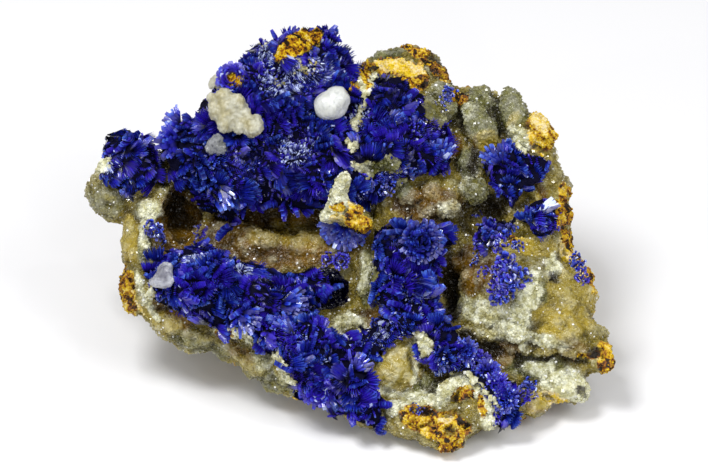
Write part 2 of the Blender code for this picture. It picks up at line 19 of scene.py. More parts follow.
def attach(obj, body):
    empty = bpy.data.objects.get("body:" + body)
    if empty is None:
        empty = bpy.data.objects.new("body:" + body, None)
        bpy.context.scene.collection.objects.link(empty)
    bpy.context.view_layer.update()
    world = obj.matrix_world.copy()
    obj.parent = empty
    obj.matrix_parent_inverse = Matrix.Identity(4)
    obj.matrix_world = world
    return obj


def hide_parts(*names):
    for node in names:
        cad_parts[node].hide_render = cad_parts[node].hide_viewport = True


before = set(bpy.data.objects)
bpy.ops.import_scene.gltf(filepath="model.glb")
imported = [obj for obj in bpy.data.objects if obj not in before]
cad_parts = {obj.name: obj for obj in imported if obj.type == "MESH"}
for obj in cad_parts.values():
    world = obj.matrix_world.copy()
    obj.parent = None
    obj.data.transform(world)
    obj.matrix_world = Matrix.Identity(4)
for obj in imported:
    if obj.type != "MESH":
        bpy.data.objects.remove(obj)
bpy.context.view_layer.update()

Array = np.ndarray
Colour = tuple[int, int, int]
Row = tuple[float, ...]
MM = 0.001
BODY = "root"
logger = logging.getLogger("specimen")


def srgb(red: int, green: int, blue: int) -> tuple[float, float, float]:
    """Turns a screen colour of 0 to 255 into the linear colour that a shader takes.

    Args:
        red, green, blue: the screen colour.

    Returns:
        The linear colour.
    """
    def linear(part: int) -> float:
        """One of the three parts, made linear."""
        share = part / 255
        return share / 12.92 if share <= 0.04045 else ((share + 0.055) / 1.055) ** 2.4

    return linear(red), linear(green), linear(blue)


def ramp(values: Array, low: float, high: float) -> Array:
    """A smooth step from 0 at low to 1 at high.

    Args:
        values: what is stepped.
        low, high: where the step begins and ends; high may be below low.

    Returns:
        The stepped values.
    """
    share = np.clip((values - low) / (high - low), 0.0, 1.0)
    return share * share * (3.0 - 2.0 * share)


def unit(vectors: Array) -> Array:
    """The vectors, row by row, at length one."""
    return vectors / np.maximum(np.linalg.norm(vectors, axis=-1, keepdims=True), 1e-12)


class Zone(Enum):
    """What the skin of the rock or of the azurite is like at a place."""

    AMBER = "amber"
    GREEN = "green"
    PALE = "pale"
    LIMONITE = "limonite"
    CREAM = "cream"
    GOLD = "gold"
    # Painted shade in clefts, hollows and under overhangs, and a darker tone on some limonite.
    DARK = "dark"
    # Azurite on the rock, painted in its darkest blue as painted shade.
    AZURE = "azure"
    FROST = "frost"
    # Gaps between rosettes: fewer blades, a lower bed, and blades painted darker as shade.
    GAP = "gap"
    FINE = "fine"
    SMOOTH = "smooth"


# What the shader of the rock reads from its mesh.
SKIN_ZONES = (
    Zone.AMBER, Zone.GREEN, Zone.PALE, Zone.LIMONITE, Zone.CREAM, Zone.GOLD, Zone.DARK,
    Zone.AZURE,
)


@dataclass(frozen=True)
class Face:
    """The face frame: which way the crystal face looks, and from how far it is seen."""

    elevation: float = math.radians(38.0)
    height_mm: float = 15.1
    distance_mm: float = 500.0

    @property
    def axes(self) -> Array:
        """The directions of u, v and w, as rows."""
        s, c = math.sin(self.elevation), math.cos(self.elevation)
        return np.array([[1.0, 0.0, 0.0], [0.0, s, c], [0.0, -c, s]])

    def measure(self, points: Array) -> Array:
        """Turns places in metres into u, v and w in millimetres."""
        return (points / MM - np.array([0.0, 0.0, self.height_mm])) @ self.axes.T

    def place(self, u: float, v: float, w: float) -> Vector:
        """The place in metres of a point of the face frame."""
        return Vector((np.array([u, v, w]) @ self.axes + [0.0, 0.0, self.height_mm]) * MM)

    def toward(self, normals: Array) -> Array:
        """How squarely each normal looks at the camera: 1 at it, 0 across, -1 away."""
        return normals @ self.axes[2]

    def seen(self, points: Array) -> tuple[Array, Array]:
        """Where places in metres show on the face, as the camera sees them.

        Args:
            points: the places, one a row.

        Returns:
            Their u and their v, in millimetres.
        """
        u, v, w = self.measure(points).T
        scale = self.distance_mm / (self.distance_mm - w)
        return u * scale, v * scale


FACE = Face()
# How squarely a surface looks at the camera where it begins to show, and where it shows fully.
IN_VIEW = (-0.25, 0.15)


@dataclass(frozen=True)
class Oval:
    """An oval on the face; turn is in degrees, and strength is what it comes to in its middle."""

    u: float
    v: float
    ru: float
    rv: float
    turn: float = 0.0
    strength: float = 1.0

    def reach(self, u: Array, v: Array) -> Array:
        """How far out each place is.

        Args:
            u, v: the places on the face.

        Returns:
            0 in the oval's middle, 1 on its edge.
        """
        c, s = math.cos(math.radians(self.turn)), math.sin(math.radians(self.turn))
        du, dv = u - self.u, v - self.v
        return np.hypot((du * c + dv * s) / self.ru, (dv * c - du * s) / self.rv)

    def patch(self, u: Array, v: Array) -> Array:
        """The oval as a soft-edged patch."""
        return ramp(self.reach(u, v), 1.25, 0.75) * self.strength

    def dome(self, u: Array, v: Array) -> Array:
        """The oval as a dome, or as a bowl if its strength is below zero."""
        return np.sqrt(np.clip(1.0 - self.reach(u, v) ** 2, 0.0, 1.0)) * self.strength


def trail(
    width: float, points: Sequence[tuple[float, float]], strength: float = 1.0
) -> list[Row]:
    """Ovals laid end to end along a line on the face.

    Args:
        width: their breadth.
        points: the corners of the line.
        strength: what each comes to.

    Returns:
        The numbers of one oval for each stretch.
    """
    made = []
    for (u0, v0), (u1, v1) in zip(points, points[1:]):
        run, turn = math.hypot(u1 - u0, v1 - v0), math.degrees(math.atan2(v1 - v0, u1 - u0))
        made.append(((u0 + u1) / 2, (v0 + v1) / 2, run * 0.6, width / 2, turn, strength))
    return made


# What the skin is at places on the face: ovals of (u, v, ru, rv, turn, strength).
PATCHES: dict[Zone, list[Row]] = {
    Zone.AMBER: [
        (-7.5, 0.2, 8.5, 3.2), (7.2, 3.6, 3.8, 1.9), (12.0, -2.8, 2.4, 2.6), (9.4, 9.4, 1.4, 1.0),
        (15.2, -11.4, 1.3, 1.3), (18.4, -16.2, 1.4, 1.0), (-17.6, 1.6, 2.0, 3.6),
        (13.2, 10.2, 1.1, 1.2, -50), (16.5, 12.2, 0.8, 1.0), (-18.6, -7.6, 2.4, 1.0, -28),
        (-22.7, 0.2, 0.7, 2.4), (1.6, -7.6, 1.4, 0.8), (18.0, 4.6, 1.4, 1.2),
        (6.4, -14.6, 1.2, 1.4, 0, 0.6), (21.4, -10.6, 2.4, 0.9, -10, 0.5),
        (-11.0, -11.6, 2.0, 0.8, -25, 0.7),
    ],
    Zone.GREEN: [
        (13.0, 12.8, 3.2, 2.4), (16.0, 12.8, 1.6, 2.6), (9.0, 13.6, 2.2, 2.4, 0, 0.7),
        (3.0, 18.8, 2.2, 0.8), (-20.9, -0.8, 0.9, 2.6), (-15.4, -10.9, 3.5, 0.8, -18, 0.6),
        (-8.4, -13.9, 3.2, 1.0, -30, 0.7), (7.2, -15.0, 1.3, 1.6), (1.2, -3.8, 0.9, 2.9),
        (11.6, 7.6, 1.4, 1.6), (18.4, -12.8, 3.0, 1.2), (17.6, -6.2, 1.8, 3.0, -30, 0.8),
        (3.7, 7.4, 1.1, 1.2), (4.8, 5.2, 0.8, 1.0), (1.7, 7.0, 1.3, 0.7),
        (-24.8, 4.0, 2.0, 2.4, 0, 0.5),
    ],
    Zone.PALE: [
        (-20.9, 0.2, 0.5, 1.9), (-20.5, 2.9, 1.4, 1.2), (-25.0, 7.4, 0.6, 0.9),
        (13.6, -7.4, 4.4, 1.3, -16, 0.8), (17.6, -5.6, 1.1, 2.6, -26, 0.8), (19.9, -2.4, 0.8, 1.3),
        (17.0, -9.8, 4.6, 0.9, -8, 0.7), (9.4, 3.0, 1.3, 1.0, 0, 0.6),
        (12.0, 5.0, 1.4, 1.4, 0, 0.5), (21.0, -14.4, 2.6, 1.6, -8),
        (18.8, -12.8, 2.0, 0.9, -10, 0.7), (16.8, 10.0, 1.6, 1.2, -20),
        (11.5, 12.6, 0.7, 0.9, -50, 0.45), (1.0, -3.4, 0.6, 2.4), (-0.4, -8.2, 1.7, 0.9, 0, 0.7),
        (6.6, -10.6, 0.8, 1.2), (-11.8, -9.6, 2.6, 0.5, -14), (-6.9, 22.0, 0.6, 0.5),
        (-9.2, 20.2, 0.7, 0.5), (-7.6, 15.6, 0.6, 0.4, 0, 0.6), (1.2, 15.5, 0.9, 0.9),
        (-0.4, 9.6, 0.4, 0.7), (-0.2, 7.4, 0.9, 0.35), (3.7, 8.2, 0.7, 0.7, 0, 0.4),
        (0.8, 6.8, 1.0, 0.7, 0, 0.5), (-5.4, 17.5, 2.3, 0.8, 0, 0.52),
        (-9.1, -12.1, 1.0, 0.8, -20, 0.8), (4.4, -12.8, 2.2, 2.2, 0, 0.25),
        *trail(0.5, [(2.1, 16.6), (1.4, 14.8), (0.5, 12.8), (-0.4, 10.9)]),
        *trail(0.7, [(-21.8, -3.6), (-21.0, -5.4), (-19.8, -8.0)]),
        *trail(0.7, [(-8.0, -11.4), (-7.0, -13.2), (-6.2, -15.0)]),
        *trail(1.5, [(3.4, -17.2), (5.6, -16.2), (7.8, -16.3), (9.6, -14.9), (11.0, -13.5)]),
        *trail(1.6, [(11.0, -13.5), (13.0, -15.6), (14.4, -17.4), (13.0, -18.6)]),
        *trail(1.1, [(2.4, -14.8), (4.5, -15.3), (6.6, -16.2)]),
        *trail(0.8, [(6.8, -10.8), (6.6, -12.0), (5.6, -14.6)], 0.8),
    ],
    Zone.LIMONITE: [
        (-5.6, 19.7, 2.9, 1.2, 32), (-4.6, 21.6, 0.9, 0.7), (-12.2, 16.3, 0.9, 0.8),
        (0.8, 17.0, 1.9, 0.65, -64), (-0.4, 15.4, 0.8, 0.5), (4.2, 17.2, 3.0, 0.9, -10),
        (6.4, 16.2, 0.9, 1.3), (8.2, 17.2, 2.0, 0.5, -48), (10.6, 14.2, 0.8, 0.4, -50),
        (6.2, 19.2, 2.0, 0.4, -14), (18.9, 11.0, 1.6, 2.4), (21.1, 3.6, 0.8, 2.4),
        (22.5, -1.6, 4.0, 0.7, -62), (25.3, -11.8, 1.0, 1.8), (23.2, -11.6, 2.0, 0.3, 8),
        (-23.0, -5.2, 1.1, 2.8, 8), (-13.0, -9.3, 0.9, 0.4, -25), (8.0, -18.4, 3.7, 1.6, -10),
        (9.8, -20.0, 1.4, 1.7), (10.8, -15.4, 1.0, 1.0), (12.7, -16.6, 0.4, 1.4, 20),
        (16.2, 0.4, 0.8, 0.5), (10.0, 14.4, 0.5, 0.8),
    ],
    Zone.GOLD: [
        (8.0, -18.8, 3.0, 1.2, -10, 0.7), (18.9, 11.0, 1.6, 2.4),
        (22.4, -5.6, 3.2, 2.6, -60), (20.4, -8.0, 2.6, 1.6, -20), (-22.6, 0.2, 0.9, 2.4),
        (4.0, -12.6, 2.0, 2.2), (17.4, 4.4, 1.2, 1.0), (18.0, -0.4, 2.0, 1.0),
        (13.4, 9.8, 1.0, 1.0), (-19.2, -8.0, 2.4, 0.9, -28, 0.7), (16.2, 11.6, 0.8, 1.0, 0, 0.7),
        (18.8, -15.8, 1.4, 1.0), (3.4, 1.6, 1.6, 1.4, 0, 0.6), (-6.0, 0.6, 5.0, 1.4, 0, 0.5),
        (-10.6, -12.4, 1.8, 0.8, -25, 0.6),
    ],
    Zone.CREAM: [
        (4.6, 17.2, 2.6, 0.7, -10), (20.2, -16.0, 2.2, 0.7, -20, 0.7),
        (21.8, -1.8, 2.6, 0.35, -60), (-21.7, -6.4, 1.8, 0.22, -62),
        (17.6, -16.8, 0.9, 1.2, 0, 0.5), (18.8, 11.8, 1.1, 1.2, 0, 0.8),
        (9.0, -17.8, 0.9, 0.6, 0, 0.7),
    ],
    # Painted shade in clefts, in the vug and under overhangs, with a darker tone on some limonite.
    Zone.DARK: [
        (-19.6, 8.8, 1.1, 2.0), (9.4, -3.6, 0.8, 5.4, 4), (0.1, 8.4, 0.7, 0.7),
        (13.6, 3.6, 1.9, 1.2), (11.2, 2.4, 1.0, 1.4, 0, 0.8), (20.1, -3.5, 0.5, 0.55),
        (22.4, -15.1, 0.4, 0.35), (16.0, 3.6, 1.6, 0.8, 0, 0.7), (14.6, -11.0, 1.6, 0.9, -20, 0.6),
        (-17.9, 3.6, 1.0, 1.8), (24.0, -11.3, 0.9, 0.25, 8), (12.0, 8.0, 0.7, 1.8),
        (6.8, -17.2, 0.9, 0.35, 0, 0.8), (9.7, -19.0, 0.8, 0.5, -20, 0.8), (10.2, -15.6, 0.35, 0.6),
        (-9.0, 17.4, 1.4, 1.2, 0, 0.8), (8.4, 18.1, 2.0, 0.3, -40),
        (-5.6, 19.7, 3.2, 1.4, 32, 0.25), (-23.0, -5.2, 1.3, 3.0, 8, 0.25),
        (9.4, 18.0, 1.6, 1.6, 0, 0.25),
        *trail(1.3, [(10.4, -9.2), (12.6, -10.2), (14.9, -11.2)]), (-1.3, -2.1, 0.5, 0.5),
        *trail(0.7, [(14.9, -11.4), (17.8, -12.0), (20.6, -11.8), (23.2, -12.1)], 0.5),
    ],
    # Azurite showing on the rock, painted in its darkest blue as painted shade.
    Zone.AZURE: [
        (-2.6, -4.6, 2.0, 2.0), (-7.6, -6.2, 1.2, 1.8), (-19.6, 9.4, 1.4, 2.0),
        (14.6, 1.8, 1.8, 0.4),
    ],
    # Azurite: gaps between rosettes (fewer blades, painted darker as shade), where the blades are
    # fine, and where they are frosted
    Zone.GAP: [
        (-19.3, 8.8, 1.5, 2.0, 20), (-9.2, 8.8, 1.3, 0.9), (-8.9, 5.0, 1.3, 1.1),
        (0.0, 8.6, 0.9, 0.9), (3.9, 14.6, 1.3, 1.6), (6.0, 8.6, 0.7, 1.4, 10),
        (1.0, 7.0, 1.4, 0.5), (3.8, 8.1, 0.9, 0.8), (3.4, 1.0, 1.0, 1.2), (5.6, -2.6, 0.8, 0.5),
        (-8.9, -5.2, 0.8, 1.8, 10), (-1.4, -14.8, 0.8, 1.8, -20), (14.2, 7.4, 1.0, 1.5),
        (6.7, -0.2, 0.6, 0.4, 0, 0.8), (14.2, -1.2, 0.9, 0.5, 20), (13.4, -3.4, 0.5, 0.9, 20),
        (-16.4, 8.0, 0.6, 0.9), (-6.2, 5.6, 0.6, 0.5), (-3.6, -6.6, 0.9, 0.7),
        (9.6, -4.4, 0.6, 1.6), (12.6, 8.6, 0.8, 0.6), (-13.0, 9.0, 0.5, 0.5),
        (-10.6, 6.4, 0.6, 0.4), (-1.6, -11.6, 0.5, 0.9),
    ],
    Zone.FINE: [
        (-15.6, 13.2, 1.6, 1.6), (-6.0, 8.8, 2.0, 2.2), (-12.0, 7.4, 2.4, 1.4),
        (7.2, 11.6, 2.6, 1.2), (3.4, 5.8, 2.0, 1.2), (-4.6, 16.4, 3.6, 1.8), (3.2, -9.4, 3.4, 1.4),
        (10.4, -12.6, 3.0, 1.0), (-4.2, -14.6, 2.2, 1.6), (-6.6, -10.4, 1.8, 1.8),
        (14.4, -3.6, 2.0, 2.2), (-24.0, 7.2, 1.2, 1.4), (19.2, 0.8, 1.6, 1.2),
        (-1.0, 1.0, 3.0, 2.2), (-12.2, 16.2, 1.6, 1.6), (-17.0, -7.0, 3.0, 0.9, -30),
    ],
    Zone.FROST: [
        (-7.4, 15.6, 2.2, 1.2, -20), (-5.8, 9.0, 1.5, 1.6), (-6.6, 21.8, 1.5, 0.8),
        (-9.4, 20.0, 1.2, 0.9), (-9.0, 18.6, 1.0, 0.8), (2.0, -8.8, 1.6, 0.8),
        (5.6, -2.6, 0.8, 0.6), (-24.4, 7.4, 0.9, 0.9), (-15.8, -1.4, 1.3, 0.7),
        (-10.8, -3.0, 0.8, 0.6), (0.4, 12.6, 0.7, 1.8, -28), (13.3, -12.8, 0.8, 0.6),
        (-3.0, 17.0, 2.4, 1.6, 0, 0.5), (6.0, -5.0, 1.4, 1.6, 0, 0.4),
        (-5.6, 17.2, 2.4, 1.0, 0, 0.8),
    ],
    Zone.SMOOTH: [(4.4, -12.8, 2.2, 2.2), (21.2, -14.8, 1.6, 1.0, 0, 0.5)],
}
# What the sides and the back have: the size of its patches, how rare they are, and a shift.
BACK: list[tuple[Zone, float, float, float]] = [
    (Zone.LIMONITE, 7.0, 0.0, 1.7), (Zone.AMBER, 5.0, 0.0, 9.2), (Zone.GREEN, 6.0, 0.05, 5.3),
    (Zone.PALE, 4.0, 0.25, 7.9), (Zone.GOLD, 5.0, 0.1, 2.8),
]
# How soft the edges of those patches are.
BACK_EDGE = 0.3
# Knobs that stand out of the rock, and clefts, the same way; the strength is in millimetres.
LUMPS: list[Row] = [
    (12.7, 11.1, 3.0, 1.5, -56, 1.0), (15.9, 12.8, 1.3, 2.6, 4, 1.0), (8.6, 13.6, 1.8, 2.3, 0, 0.8),
    (17.0, 10.0, 1.2, 1.0, 0, 0.5), (15.8, 9.4, 0.8, 0.7, 0, 0.4), (12.8, 14.3, 1.6, 0.8, -10, 0.5),
    (10.6, 12.6, 0.5, 2.2, 8, -0.9), (14.5, 12.0, 0.45, 2.0, 6, -0.9),
    (17.4, 14.6, 1.0, 1.6, -20, -0.9), (14.2, 14.8, 0.7, 1.0, 0, -0.7),
    (5.4, 4.6, 1.4, 1.2, 0, 0.6), (7.7, 4.9, 1.2, 1.0, 0, 0.5), (9.5, 3.1, 1.4, 1.1, 0, 0.7),
    (7.0, 2.8, 1.5, 0.8, 0, 0.5), (11.1, 8.2, 0.9, 1.1, 0, 0.5), (16.4, 4.0, 1.6, 0.9, 0, -0.7),
    (15.2, -11.6, 1.1, 1.3, 0, 0.7), (18.2, -13.0, 1.7, 0.9, -8, 0.7),
    (21.0, -14.6, 2.4, 1.5, -8, 0.6), (18.0, -16.4, 1.3, 1.7, 0, 0.5),
    (16.0, -13.6, 1.0, 0.8, 0, 0.5), (12.4, -7.6, 1.8, 1.1, -14, 0.4),
    (15.6, -9.2, 1.9, 1.0, -12, 0.5), (18.9, -9.9, 1.7, 0.9, 0, 0.4),
    (21.6, -9.6, 1.6, 1.0, 5, 0.3), (20.1, -3.5, 0.5, 0.55, 0, -0.6),
    (24.9, -9.2, 0.9, 0.6, 0, 0.4),
    *trail(1.5, [(9.6, -9.4), (12.4, -10.4), (15.4, -11.5)], -1.0),
    *trail(0.6, [(15.4, -11.5), (18.0, -12.0), (20.6, -11.7), (23.4, -12.2)], -0.5),
    (16.8, -11.2, 0.9, 0.6, 0, 0.7), (18.9, -11.5, 0.9, 0.5, 0, 0.6),
    (21.4, -11.3, 1.0, 0.5, 0, 0.6), (13.4, -9.6, 0.8, 0.5, -20, 0.4),
    (23.2, -11.4, 0.6, 0.4, 0, 0.4), (4.5, -12.7, 2.4, 2.3, 0, 0.6), (6.9, -14.6, 1.3, 1.7, 0, 0.5),
    (6.2, -13.2, 0.35, 2.0, 20, -0.5),
    *trail(1.3, [(3.2, -16.8), (4.6, -17.0), (6.6, -16.3), (8.4, -15.9), (10.6, -13.8)], 0.6),
    *trail(1.3, [(11.0, -13.6), (12.8, -15.4), (14.4, -17.4), (13.2, -18.8)], 0.6),
    (6.8, -17.2, 1.0, 0.5, 0, -0.7), (9.7, -19.0, 0.9, 0.6, -20, -0.7),
    (10.2, -15.6, 0.5, 0.8, 0, -0.6), (-18.8, -8.2, 1.9, 1.1, -25, 0.6),
    (-15.8, -10.0, 1.8, 1.0, -20, 0.6), (-12.8, -11.2, 1.5, 1.1, -20, 0.6),
    (-10.2, -12.4, 1.4, 1.2, 0, 0.7), (-7.9, -14.0, 1.3, 1.4, 0, 0.6),
    (-14.2, -12.0, 1.2, 0.8, 0, -0.4), (-22.6, 0.2, 0.8, 2.6, 0, 0.5),
    (-20.9, -0.4, 0.8, 2.4, 0, 0.6), (-20.4, 3.0, 1.3, 1.3, 0, 0.5), (-24.6, 3.6, 1.7, 1.8, 0, 0.5),
    (1.1, -3.6, 0.9, 3.0, 0, 0.5), (-0.6, -8.2, 1.6, 1.0, 0, 0.4), (-8.6, 0.2, 1.4, 1.2, 0, 0.25),
    (5.2, 17.2, 2.6, 0.9, -12, 0.5), (18.9, 11.2, 1.4, 2.0, 0, 0.4),
    (-12.0, -9.5, 2.6, 0.5, -14, 0.5),
]


class Noise:
    """Solid noise, worked out at many places at once."""

    @staticmethod
    def cloud(points: Array, size: float, octaves: float = 3.0, shift: float = 0.0) -> Array:
        """Cloudy noise.

        Args:
            points: places in metres, one a row.
            size: the size of a cloud in millimetres.
            octaves: how many sizes are added up.
            shift: moves the pattern, so that two layers differ.

        Returns:
            About -1 to 1 for each place.
        """
        scaled = points / (size * MM) + shift
        return np.array([noise.fractal(p, 1.0, 2.0, octaves) for p in scaled.tolist()])

    @staticmethod
    def cells(points: Array, size: float, shift: float = 0.0) -> Array:
        """How far each place is from the nearest of a scatter of seeds.

        Args:
            points: places in metres, one a row.
            size: how far apart the seeds are, in millimetres.
            shift: moves the pattern, so that two layers differ.

        Returns:
            The distance as a share of size, 0 at a seed.
        """
        scaled = points / (size * MM) + shift
        return np.array([noise.voronoi(p)[0][0] for p in scaled.tolist()])


@dataclass
class Spots:
    """Places scattered over a skin, which can read what the skin's corners carry."""

    places: Array
    normals: Array
    corners: Array
    shares: Array

    def read(self, values: Array) -> Array:
        """The value at each place, from the values of the skin's corners."""
        return (values[self.corners] * self.shares).sum(axis=1)

    def take(self, keep: Array) -> "Spots":
        """The places of those numbers, or where keep is true."""
        return Spots(
            self.places[keep], self.normals[keep], self.corners[keep], self.shares[keep]
        )


class Skin:
    """A mesh's corners, normals and triangles as arrays, with the tools to scatter over it."""

    def __init__(self, mesh: bpy.types.Mesh) -> None:
        """Reads the mesh.

        Args:
            mesh: what is read.
        """
        mesh.calc_loop_triangles()
        self.points = self._rows(mesh.vertices, "co", 3, float)
        self.normals = self._rows(mesh.vertices, "normal", 3, float)
        self.triangles = self._rows(mesh.loop_triangles, "vertices", 3, np.int32)
        self.edges = self._rows(mesh.edges, "vertices", 2, np.int32)

    @staticmethod
    def _rows(items: bpy.types.bpy_prop_collection, key: str, width: int, kind: type) -> Array:
        """Reads one property of a mesh's items.

        Args:
            items: the corners, edges or triangles.
            key: the property's name.
            width: how many numbers it has.
            kind: the kind of number.

        Returns:
            The numbers, a row for each item.
        """
        flat = np.empty(len(items) * width, kind)
        items.foreach_get(key, flat)
        return flat.reshape(-1, width)

    def depth(self, rounds: int) -> Array:
        """How far each corner lies below the skin's own smoothed shape, in millimetres.

        Args:
            rounds: how often the shape is smoothed; more rounds see wider hollows.

        Returns:
            The depth of each corner: positive in hollows, negative on knobs.
        """
        first, second = self.edges.T
        count = len(self.points)
        ends = np.bincount(first, minlength=count) + np.bincount(second, minlength=count)
        smooth = self.points.copy()
        for _ in range(rounds):
            total = np.stack([
                np.bincount(first, smooth[second, axis], count)
                + np.bincount(second, smooth[first, axis], count)
                for axis in range(3)
            ], axis=1)
            smooth = total / np.maximum(ends, 1)[:, None]
        return ((smooth - self.points) * self.normals).sum(axis=1) / MM

    def scatter(
        self, spacing: float, rng: np.random.Generator, share: Array | None = None
    ) -> Spots:
        """Places over the skin that keep their distance from each other.

        Args:
            spacing: the least distance between two places, in millimetres.
            rng: where the random numbers come from.
            share: how likely each corner is to be covered, from 0 to 1; all of it if left out.

        Returns:
            The places.
        """
        a, b, c = (self.points[self.triangles[:, k]] for k in range(3))
        areas = np.linalg.norm(np.cross(b - a, c - a), axis=1) / 2
        share = np.ones(len(self.points)) if share is None else share
        areas = areas * (share[self.triangles].mean(axis=1) > 0.02)
        if not areas.sum():
            return Spots(self.points[:0], self.normals[:0], self.triangles[:0], self.points[:0])
        count = int(areas.sum() / (spacing * MM) ** 2 * 4)
        chosen = rng.choice(len(areas), count, p=areas / areas.sum())
        r, s = np.sqrt(rng.random(count)), rng.random(count)
        shares = np.stack([1 - r, r * (1 - s), r * s], axis=1)
        corners = self.triangles[chosen]
        places = (self.points[corners] * shares[:, :, None]).sum(axis=1)
        normals = unit((self.normals[corners] * shares[:, :, None]).sum(axis=1))
        spots = Spots(places, normals, corners, shares)
        spots = spots.take(self._spread(places, spacing * MM))
        return spots.take(rng.random(len(spots.places)) < spots.read(share))

    @staticmethod
    def _spread(places: Array, gap: float) -> list[int]:
        """Picks places in order, leaving out any that is nearer than gap to one picked.

        Args:
            places: the places.
            gap: the least distance between two that are picked, in metres.

        Returns:
            The numbers of those picked.
        """
        taken: dict[tuple[int, int, int], list[tuple[float, float, float]]] = {}
        keep = []
        for index, (x, y, z) in enumerate(places.tolist()):
            i, j, k = int(x // gap), int(y // gap), int(z // gap)
            near = (
                other
                for di in (-1, 0, 1) for dj in (-1, 0, 1) for dk in (-1, 0, 1)
                for other in taken.get((i + di, j + dj, k + dk), ())
            )
            if all((x - o[0]) ** 2 + (y - o[1]) ** 2 + (z - o[2]) ** 2 >= gap * gap for o in near):
                taken.setdefault((i, j, k), []).append((x, y, z))
                keep.append(index)
        return keep


def tree_of(skins: Sequence[Skin]) -> BVHTree:
    """Joins skins into one thing on which rays and nearest points are found.

    Args:
        skins: the skins.

    Returns:
        The tree of their triangles.
    """
    corners, faces = [], []
    for skin in skins:
        faces += (skin.triangles + len(corners)).tolist()
        corners += skin.points.tolist()
    return BVHTree.FromPolygons(corners, faces, all_triangles=True)


def strayed(
    points: Array, stray_mm: float, size_mm: float, shifts: tuple[float, float]
) -> tuple[Array, Array]:
    """Where places show on the face, strayed a little, so that no patch has a clean edge.

    Args:
        points: the places in metres, one a row.
        stray_mm: how far they stray.
        size_mm: over what distance the stray changes.
        shifts: moves the pattern of each direction.

    Returns:
        Their u and their v, in millimetres.
    """
    u, v = FACE.seen(points)
    u = u + stray_mm * Noise.cloud(points, size_mm, shift=shifts[0])
    v = v + stray_mm * Noise.cloud(points, size_mm, shift=shifts[1])
    return u, v


def paint(points: Array, normals: Array, back: bool = True) -> dict[Zone, Array]:
    """Works out the zones at places on the rock.

    Args:
        points: the places in metres, one a row.
        normals: the outward normal at each.
        back: whether what faces away from the camera gets the back's own zones.

    Returns:
        For each zone, how much of it there is at each place, from 0 to 1.
    """
    u, v = strayed(points, 0.5, 1.6, (3.1, 7.7))
    facing = ramp(FACE.toward(normals), *IN_VIEW)
    zones = {zone: np.zeros(len(points)) for zone in Zone}
    for zone, rows in PATCHES.items():
        for row in rows:
            zones[zone] = np.maximum(zones[zone], Oval(*row).patch(u, v) * facing)
    hidden = ramp(FACE.toward(normals), 0.0, -0.4) * back
    for zone, size, low, shift in BACK:
        spread = ramp(Noise.cloud(points, size, shift=shift), low, low + BACK_EDGE)
        zones[zone] = np.maximum(zones[zone], hidden * spread)
    return zones


def lumps(points: Array, normals: Array) -> Array:
    """How far the knobs and clefts of the face stand out of the rock.

    Args:
        points: the places in metres, one a row.
        normals: the outward normal at each.

    Returns:
        The height of each place, in millimetres.
    """
    u, v = strayed(points, 0.25, 1.2, (5.1, 8.7))
    high, low = np.zeros(len(points)), np.zeros(len(points))
    for row in LUMPS:
        dome = Oval(*row).dome(u, v)
        high, low = np.maximum(high, dome), np.minimum(low, dome)
    return (high + low) * ramp(FACE.toward(normals), *IN_VIEW)


